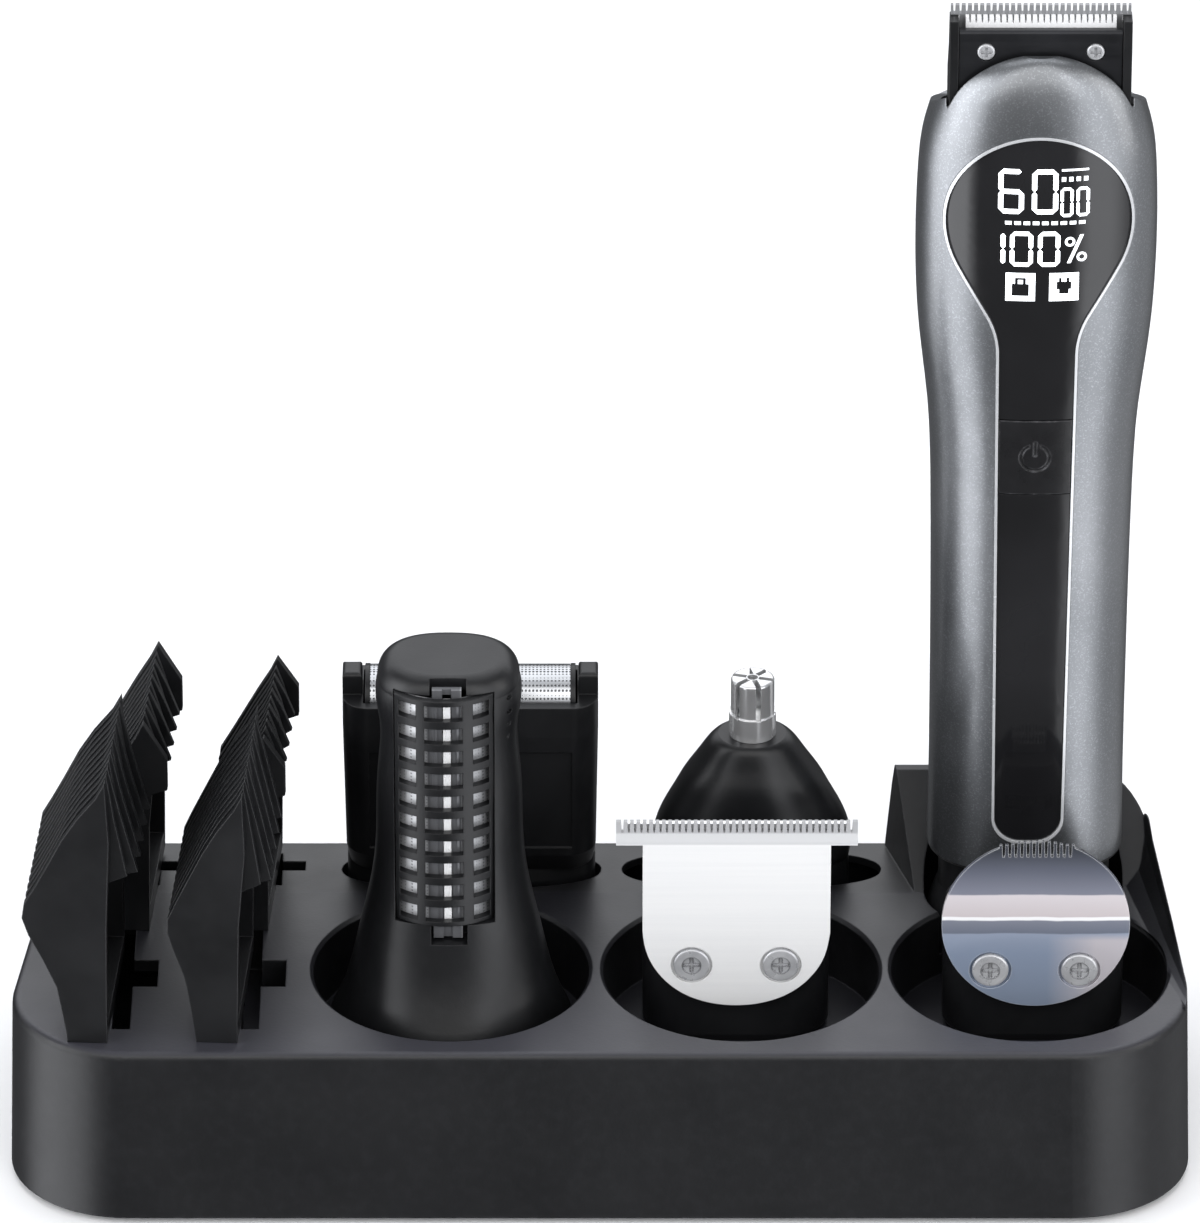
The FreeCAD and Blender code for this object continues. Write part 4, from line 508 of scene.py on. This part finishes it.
def banded_disc(name):
    """Polished disc with painted reflections, by height: the strips of a studio that its facets
    mirror.
    """
    bottom, top = PAINTED_DISC_REFLECTIONS[0][0] * MM, PAINTED_DISC_REFLECTIONS[-1][0] * MM
    middle = middle_x("detail_fixed_blade")
    surface = Surface(name)
    x, z = surface.axis(0), surface.axis(2)
    waver = surface.times(surface.patches(scale=90.0, to=(-1.0, 1.0)), 0.00015)
    reflection_bands = surface.node("ValToRGB")
    surface.link(surface.ramp(surface.plus(z, waver), span=(bottom, top)), reflection_bands.inputs[0])
    elements = reflection_bands.color_ramp.elements
    while len(elements) < len(PAINTED_DISC_REFLECTIONS):
        elements.new(0.5)
    for element, (height, colour) in zip(elements, PAINTED_DISC_REFLECTIONS):
        element.position = min(1.0, max(0.0, (height * MM - bottom) / (top - bottom)))
        element.color = (*colour, 1)
    # painted reflection: lighter towards the lower right
    lower_right_reflection = surface.times(
        surface.ramp(x, span=(middle + 0.002, middle + 0.010)),
        surface.ramp(z, span=(0.0419, 0.0405)))
    colour = surface.mix(lower_right_reflection, reflection_bands.outputs[0], (0.62, 0.57, 0.585), amount=0.8)
    lines = surface.noise(rough=0.6, stretch=BRUSHED["x"])
    return surface.finish({
        # painted highlight: edges lightened
        "Base Color": surface.mix(
            surface.edges(0.0003), colour, (0.97, 0.97, 0.98), amount=0.35),
        "Metallic": 0.3,
        "Roughness": surface.patches(
            scale=170.0, detail=5.0, rough=0.65, span=(0.4, 0.8), to=(0.1, 0.2)),
        "Normal": surface.bump(lines, strength=0.08, distance=0.00002, bevel=0.00012),
    })


# ------------------------------------------------------------------ giving out materials
# material slot: the function that makes its material, and that function's settings
SLOT_MATERIALS = {
    "stand_plastic": (stand_plastic, {}),
    "base_plastic": (plastic, dict(
        base=(0.016, 0.016, 0.017), rough=0.55, spec=0.4, grain=1.6, grain_size=1500.0)),
    "foot_rubber": (rubber, {}),
    "screw_steel": (metal, dict(
        base=(0.50, 0.505, 0.52), rough=0.3, brush_strength=0.3, scratch=0.5, metallic=0.45)),
    "gunmetal": (gunmetal, {}),
    "cap_plastic": (plastic, dict(base=(0.0058, 0.006, 0.0068), rough=0.36, spec=0.42)),
    "chrome_trim": (metal, dict(
        base=(0.60, 0.61, 0.625), rough=0.2, brush_strength=0.05, scratch=0.2, bevel=0.0001,
        coat=0.2, variation=0.06, metallic=0.35)),
    "piano_black": (piano_black, {}),
    # painted highlight: the edges of the button and its ring groove are lightened
    "button_plastic": (plastic, dict(
        base=(0.0095, 0.0095, 0.0105), rough=0.2, spec=0.36, grain=0.25, grain_size=2600.0,
        bevel=0.0003, edge_wear_and_highlight_amount=1.0, edge=(0.105, 0.105, 0.112))),
    "display_board": (plastic, dict(
        base=(0.012, 0.012, 0.014), rough=0.5, spec=0.4, grain=0.8)),
    "circuit_board": (circuit_board, {}),
    "switch_metal": (metal, dict(base=(0.6, 0.6, 0.61), rough=0.3)),
    "cell_wrap": (plastic, dict(
        base=(0.03, 0.07, 0.26), rough=0.2, spec=0.5, grain=0.3, coat=0.5)),
    "contact_metal": (metal, dict(
        base=(0.78, 0.66, 0.38), rough=0.28, brushed="x", brush_strength=0.3, scratch=0.4)),
    "motor_steel": (metal, dict(
        base=(0.55, 0.56, 0.57), rough=0.3, brushed="z", brush_strength=0.3, scratch=0.4)),
    "chassis_plastic": (plastic, dict(
        base=(0.075, 0.075, 0.08), rough=0.5, spec=0.4, grain=1.2)),
    "socket_plastic": (plastic, dict(
        base=(0.02, 0.02, 0.021), rough=0.45, spec=0.45, grain=0.8)),
    "seal_rubber": (rubber, {}),
    "head_plastic": (plastic, dict(
        base=(0.0050, 0.0052, 0.0060), rough=0.34, spec=0.32, grain=0.9, grain_size=2400.0,
        edge_wear_and_highlight_amount=0.3)),
    "blade_black": (metal, dict(
        base=(0.035, 0.036, 0.04), rough=0.34, brushed="x", brush_strength=0.3, scratch=0.4,
        bevel=0.0001, metallic=0.75, variation=0.3)),
    "blade_steel": (metal, dict(
        base=(0.86, 0.865, 0.87), rough=0.3, brushed="x", brush_strength=0.3, scratch=0.35,
        bevel=0.0001, variation=0.05)),
    "mirror_steel": (metal, dict(
        base=(0.84, 0.855, 0.88), rough=0.05, brushed="x", brush_strength=0.06,
        bevel=0.0001, variation=0.04)),
    "yoke_plastic": (plastic, dict(
        base=(0.55, 0.54, 0.51), rough=0.45, spec=0.45, grain=0.6)),
    "spring_steel": (metal, dict(base=(0.6, 0.6, 0.61), rough=0.2)),
    "foil_steel": (foil_metal, {}),
    # painted glints and scuffing: the edges of the teeth are lightened
    "comb_plastic": (plastic, dict(
        base=(0.0050, 0.0052, 0.0060), rough=0.34, spec=0.45, grain=0.9, edge_wear_and_highlight_amount=0.6)),
}
# the same for single pieces, whose own material takes the place of their slot's
PIECE_MATERIALS = {
    "t_blade_screws": (screw_head, {}),
    "detail_blade_screws": (screw_head, {}),
    "t_fixed_blade": (satin_plate, {}),
    "detail_fixed_blade": (banded_disc, {}),
    "nose_guard_tube": (metal, dict(
        base=(0.74, 0.74, 0.745), rough=0.17, brushed="z", brush_strength=0.1,
        bevel=0.0001, variation=0.1, metallic=0.72)),
    "trim_fixed_blade": (metal, dict(
        base=(0.33, 0.335, 0.345), rough=0.34, brushed="x", brush_strength=0.3,
        scratch=0.35, bevel=0.0001, variation=0.2, metallic=0.6)),
    "trim_moving_blade": (metal, dict(
        base=(0.95, 0.95, 0.955), rough=0.3, brushed="x", bevel=0.0001, variation=0.05,
        metallic=0.35)),
    "groomer_foil": (groomer_steel, {}),
    "groomer_blade": (metal, dict(
        base=(0.97, 0.97, 0.975), rough=0.26, brushed="z", bevel=0.0001, variation=0.04,
        metallic=0.3)),
}
materials = {}


def slot_material(slot):
    if slot not in materials:
        make, settings = SLOT_MATERIALS[slot]
        materials[slot] = make("mat_" + slot, **settings)
    return materials[slot]


for name, piece in nodes.items():
    piece.data.materials.clear()
    piece.data.materials.append(slot_material(slot_of[name]))
for name, (make, settings) in PIECE_MATERIALS.items():
    nodes[name].data.materials[0] = make("mat_" + name, **settings)


# ------------------------------------------------------------------ display shapes
# Laid out in millimetres: x from the lens's middle, and depth down from its top edge.
# Every outline is a polygon of (x, z) points in metres.
PROUD = 0.00003  # how far a shape stands in front of the lens
SUNK = 0.00012  # how far its back lies inside the lens
GRID_STEP = 0.0006  # spacing of the cuts that let a shape follow the lens

lens_low, lens_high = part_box("display_lens")
LENS_X = (lens_low.x + lens_high.x) / 2
LENS_TOP = lens_high.z
lens_mesh = nodes["display_lens"].data
lens_tree = BVHTree.FromPolygons(
    [v.co.copy() for v in lens_mesh.vertices], [list(p.vertices) for p in lens_mesh.polygons])


def lens_front(x, z):
    """Y of the lens's front; off the lens, the foremost y of its box."""
    hit = lens_tree.ray_cast(Vector((x, -0.2, z)), Vector((0, 1, 0)))[0]
    return hit.y if hit is not None else lens_low.y


def add_slab(bm, outline):
    """Add a thin closed slab whose front and back follow the lens."""
    slab = bmesh.new()
    slab.faces.new([slab.verts.new((x, 0, z)) for x, z in outline])
    slab.normal_update()
    for column, normal in enumerate(((1, 0, 0), (0, 0, 1))):
        low = min(point[column] for point in outline)
        high = max(point[column] for point in outline)
        cuts = max(1, int((high - low) / GRID_STEP))
        for i in range(1, cuts):
            place = low + (high - low) * i / cuts
            bmesh.ops.bisect_plane(
                slab, geom=slab.verts[:] + slab.edges[:] + slab.faces[:], dist=1e-9,
                plane_co=[place * part for part in normal], plane_no=normal)
    extruded = bmesh.ops.extrude_face_region(slab, geom=slab.faces[:])
    back = {v for v in extruded["geom"] if isinstance(v, bmesh.types.BMVert)}
    for v in slab.verts:
        v.co.y = lens_front(v.co.x, v.co.z) + (SUNK if v in back else -PROUD)
    bmesh.ops.recalc_face_normals(slab, faces=slab.faces[:])
    mesh = bpy.data.meshes.new("slab")
    slab.to_mesh(mesh)
    slab.free()
    bm.from_mesh(mesh)
    bpy.data.meshes.remove(mesh)


def at(x, depth):
    return LENS_X + x * MM, LENS_TOP - depth * MM


def level_bar(x0, x1, z, half):
    return [(x0, z), (x0 + half, z - half), (x1 - half, z - half),
            (x1, z), (x1 - half, z + half), (x0 + half, z + half)]


def upright_bar(x, z0, z1, half):
    return [(x, z0), (x + half, z0 + half), (x + half, z1 - half),
            (x, z1), (x - half, z1 - half), (x - half, z0 + half)]


LIT_BARS = {"0": "abcdef", "1": "bc", "6": "acdefg"}


def digit(character, left, right, top, bottom, thick):
    """Seven-bar digit; a is the top bar, b to f run clockwise, g is the middle bar."""
    x0, z1 = at(left, top)
    x1, z0 = at(right, bottom)
    thick = thick * MM
    half, gap = thick / 2, thick * 0.03
    middle = (z0 + z1) / 2
    x0, x1 = x0 + half, x1 - half
    z0, z1 = z0 + half, z1 - half
    bars = {
        "a": level_bar(x0 + gap, x1 - gap, z1, half),
        "b": upright_bar(x1, middle + gap, z1 - gap, half),
        "c": upright_bar(x1, z0 + gap, middle - gap, half),
        "d": level_bar(x0 + gap, x1 - gap, z0, half),
        "e": upright_bar(x0, z0 + gap, middle - gap, half),
        "f": upright_bar(x0, middle + gap, z1 - gap, half),
        "g": level_bar(x0 + gap, x1 - gap, middle, half),
    }
    return [bars[key] for key in LIT_BARS[character]]


def rect(left, right, top, bottom):
    x0, z1 = at(left, top)
    x1, z0 = at(right, bottom)
    return [(x0, z0), (x1, z0), (x1, z1), (x0, z1)]


def rect_row(count, pitch, left, right, top, bottom):
    return [rect(left + i * pitch, right + i * pitch, top, bottom) for i in range(count)]


def ring(x, depth, outer=0.85, inner=0.45, sides=14):
    centre_x, centre_z = at(x, depth)
    pieces = []
    for i in range(sides):
        start, end = 2 * math.pi * i / sides, 2 * math.pi * (i + 1) / sides
        corners = ((inner, start), (outer, start), (outer, end), (inner, end))
        pieces.append([
            (centre_x + r * MM * math.cos(angle), centre_z + r * MM * math.sin(angle))
            for r, angle in corners])
    return pieces


def slash():
    """The leaning stroke between the two rings of the percent sign."""
    foot_x, foot_z = at(4.55, 21.4)
    head_x, head_z = at(7.15, 16.4)
    return [(foot_x, foot_z), (foot_x + 0.0006, foot_z),
            (head_x + 0.0001, head_z), (head_x - 0.0005, head_z)]


def symbol(left, right, top, bottom, openings):
    """A filled square with rectangular openings, as a list of rectangles."""
    xs = sorted({left, right, *[edge for hole in openings for edge in hole[:2]]})
    depths = sorted({top, bottom, *[edge for hole in openings for edge in hole[2:]]})
    pieces = []
    for x0, x1 in zip(xs, xs[1:]):
        run = None
        for upper, lower in zip(depths, depths[1:]):
            x, depth = (x0 + x1) / 2, (upper + lower) / 2
            solid = not any(h[0] < x < h[1] and h[2] < depth < h[3] for h in openings)
            if solid:
                run = (run[0] if run else upper, lower)
            if run and (not solid or lower == depths[-1]):
                pieces.append(rect(x0, x1, *run))
                run = None
    return pieces


# character, left, right, top, bottom, bar thickness
DIGITS = [
    ("6", -6.75, -2.6, 5.0, 12.65, 0.8),
    ("0", -1.3, 2.95, 5.0, 12.65, 0.8),
    ("0", 3.35, 5.45, 8.15, 13.2, 0.5),
    ("0", 5.95, 8.1, 8.15, 13.2, 0.5),
    ("1", -9.4, -5.5, 15.75, 21.95, 0.75),
    ("0", -4.75, -1.0, 15.75, 21.95, 0.72),
    ("0", -0.2, 3.4, 15.75, 21.95, 0.72),
]
# openings in the two symbols: left, right, top, bottom
PADLOCK = [(-4.35, -1.55, 25.1, 27.3), (-3.85, -3.35, 24.0, 25.1),
           (-2.55, -2.05, 24.0, 25.1), (-3.35, -2.55, 24.0, 24.4)]
PLUG = [(2.95, 5.35, 24.7, 26.1), (3.35, 4.95, 26.1, 26.9),
        (3.3, 3.75, 24.0, 24.7), (4.55, 5.0, 24.0, 24.7)]

digits = [bar for entry in DIGITS for bar in digit(*entry)]
marks = [
    rect(3.5, 7.9, 5.0, 5.35),
    *rect_row(count=4, pitch=1.2, left=3.5, right=4.2, top=6.35, bottom=7.1),
    *rect_row(count=9, pitch=1.5, left=-5.6, right=-4.55, top=13.95, bottom=14.55),
    *ring(5.0, 17.6), *ring(6.95, 20.35), slash(),
]
symbols = [
    *symbol(-5.35, -0.55, 23.15, 28.2, PADLOCK),
    *symbol(1.75, 6.55, 23.15, 28.2, PLUG),
]


def add_display(name, outlines, strength):
    """One lit object on the handset; strength is its emission."""
    bm = bmesh.new()
    for outline in outlines:
        add_slab(bm, outline)
    material = glow("mat_" + name, strength)
    mesh = bpy.data.meshes.new(name)
    bm.normal_update()
    bm.to_mesh(mesh)
    bm.free()
    mesh.materials.append(material)
    obj = bpy.data.objects.new(name, mesh)
    scene.collection.objects.link(obj)
    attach(obj, "handset")


add_display("display_digits", digits, strength=2.6)
add_display("display_marks", marks, strength=1.1)
add_display("display_symbols", symbols, strength=2.3)

# ------------------------------------------------------------------ camera and lights
CAMERA_PLACE = (0.0, -1.723091, 1.061741)
CAMERA_PITCH = math.radians(29.2983)  # below the horizontal
SENSOR_WIDTH = 36.0  # millimetres, as is the focal length
FOCAL_LENGTH = 353.229763

# name, place, target, width, height, power in watts, colour
AREA_LIGHTS = [
    ("front_key", (0.0, -1.35, 1.15), (0.0, 0.0, 0.08), 2.2, 1.2, 18.5, (1.0, 0.995, 0.99)),
    ("key_left", (-0.85, -0.30, 0.50), (0.03, 0.0, 0.09), 0.4, 0.9, 2.2, (0.97, 0.985, 1.0)),
    ("key_right", (0.95, -0.25, 0.45), (0.06, 0.0, 0.09), 0.4, 0.9, 3.0, (1.0, 0.99, 0.98)),
    ("top", (0.0, 0.30, 1.1), (0.0, 0.0, 0.05), 1.2, 0.8, 4.0, (0.95, 0.97, 1.0)),
]


def add_camera():
    data = bpy.data.cameras.new("camera")
    data.sensor_width = SENSOR_WIDTH
    data.lens = FOCAL_LENGTH
    data.clip_start = 0.05
    data.clip_end = 20.0
    camera = bpy.data.objects.new("camera", data)
    camera.location = CAMERA_PLACE
    camera.rotation_euler = (math.pi / 2 - CAMERA_PITCH, 0.0, 0.0)
    scene.collection.objects.link(camera)
    scene.camera = camera


def add_area(name, place, target, width, height, power, colour):
    data = bpy.data.lights.new(name, "AREA")
    data.energy = power
    data.color = colour
    data.shape = "RECTANGLE"
    data.size = width
    data.size_y = height
    light = bpy.data.objects.new(name, data)
    light.location = place
    aim = Vector(target) - Vector(place)
    light.rotation_euler = aim.to_track_quat("-Z", "Y").to_euler()
    scene.collection.objects.link(light)


def build_world():
    """White to the camera; to all other rays, a dim studio with soft bright boxes."""
    world = bpy.data.worlds.new("studio")
    scene.world = world
    graph = Graph(world)
    times, plus = graph.times, graph.plus

    def fade(value, span, to=UNIT):
        return graph.ramp(value, span, to, smooth=True)

    def band(value, rise, fall):
        return times(fade(value, rise), fade(value, fall, to=(1.0, 0.0)))

    x, y, z = graph.split("XYZ", graph.node("TexCoord").outputs["Generated"])
    # azimuth from the front, to the right, and elevation, both in degrees
    degrees = 57.29578
    azimuth = times(graph.math("ARCTAN2", x, times(y, -1.0)), degrees)
    elevation = times(graph.math("ARCSINE", z), degrees)

    tall = band(elevation, rise=(-68.0, -50.0), fall=(26.0, 44.0))
    left_box = times(times(band(azimuth, rise=(-118.0, -86.0), fall=(-46.0, -30.0)), tall), 3.5)
    right_near = times(band(azimuth, rise=(14.0, 28.0), fall=(42.0, 84.0)), 2.75)
    right_far = times(band(azimuth, rise=(60.0, 84.0), fall=(100.0, 160.0)), 0.6)
    right_box = times(plus(right_near, right_far), tall)
    front_fill = times(band(azimuth, rise=(-60.0, -20.0), fall=(20.0, 60.0)), 0.12)
    high = band(elevation, rise=(8.0, 24.0), fall=(60.0, 80.0))
    back_top = times(times(fade(y, (0.35, 0.75)), high), 1.9)
    low = times(fade(elevation, (8.0, -20.0)), 0.05)
    ceiling = times(fade(elevation, (40.0, 75.0)), 0.45)
    ambient = 0.06
    total = left_box
    for part in (right_box, front_fill, back_top, low, ceiling, ambient):
        total = plus(total, part)

    backdrop = graph.node("Background")
    graph.fill(backdrop, {"Color": (1, 1, 1), "Strength": 1.0})
    studio = graph.node("Background")
    graph.fill(studio, {"Color": (0.95, 0.965, 1.0), "Strength": total})
    mixer = graph.node("MixShader")
    graph.link(graph.node("LightPath").outputs["Is Camera Ray"], mixer.inputs[0])
    graph.link(studio.outputs[0], mixer.inputs[1])
    graph.link(backdrop.outputs[0], mixer.inputs[2])
    graph.link(mixer.outputs[0], graph.node("OutputWorld").inputs[0])


def add_floor():
    bm = bmesh.new()
    bmesh.ops.create_grid(bm, x_segments=2, y_segments=2, size=3.0)
    mesh = bpy.data.meshes.new("floor")
    bm.to_mesh(mesh)
    bm.free()
    floor = bpy.data.objects.new("floor", mesh)
    floor.location = (0, 0, -0.0001)
    scene.collection.objects.link(floor)
    # a pale ground for the camera only; the glossy parts mirror the painted studio
    floor.visible_glossy = False
    floor.visible_diffuse = False
    surface = Surface("mat_floor")
    mesh.materials.append(surface.finish({
        "Base Color": surface.mix(
            surface.patches(scale=3.0), (0.86, 0.86, 0.865), (0.9, 0.9, 0.905)),
        "Roughness": 0.8,
    }))


add_camera()
for entry in AREA_LIGHTS:
    add_area(*entry)
build_world()
add_floor()
scene.view_settings.view_transform = "Standard"
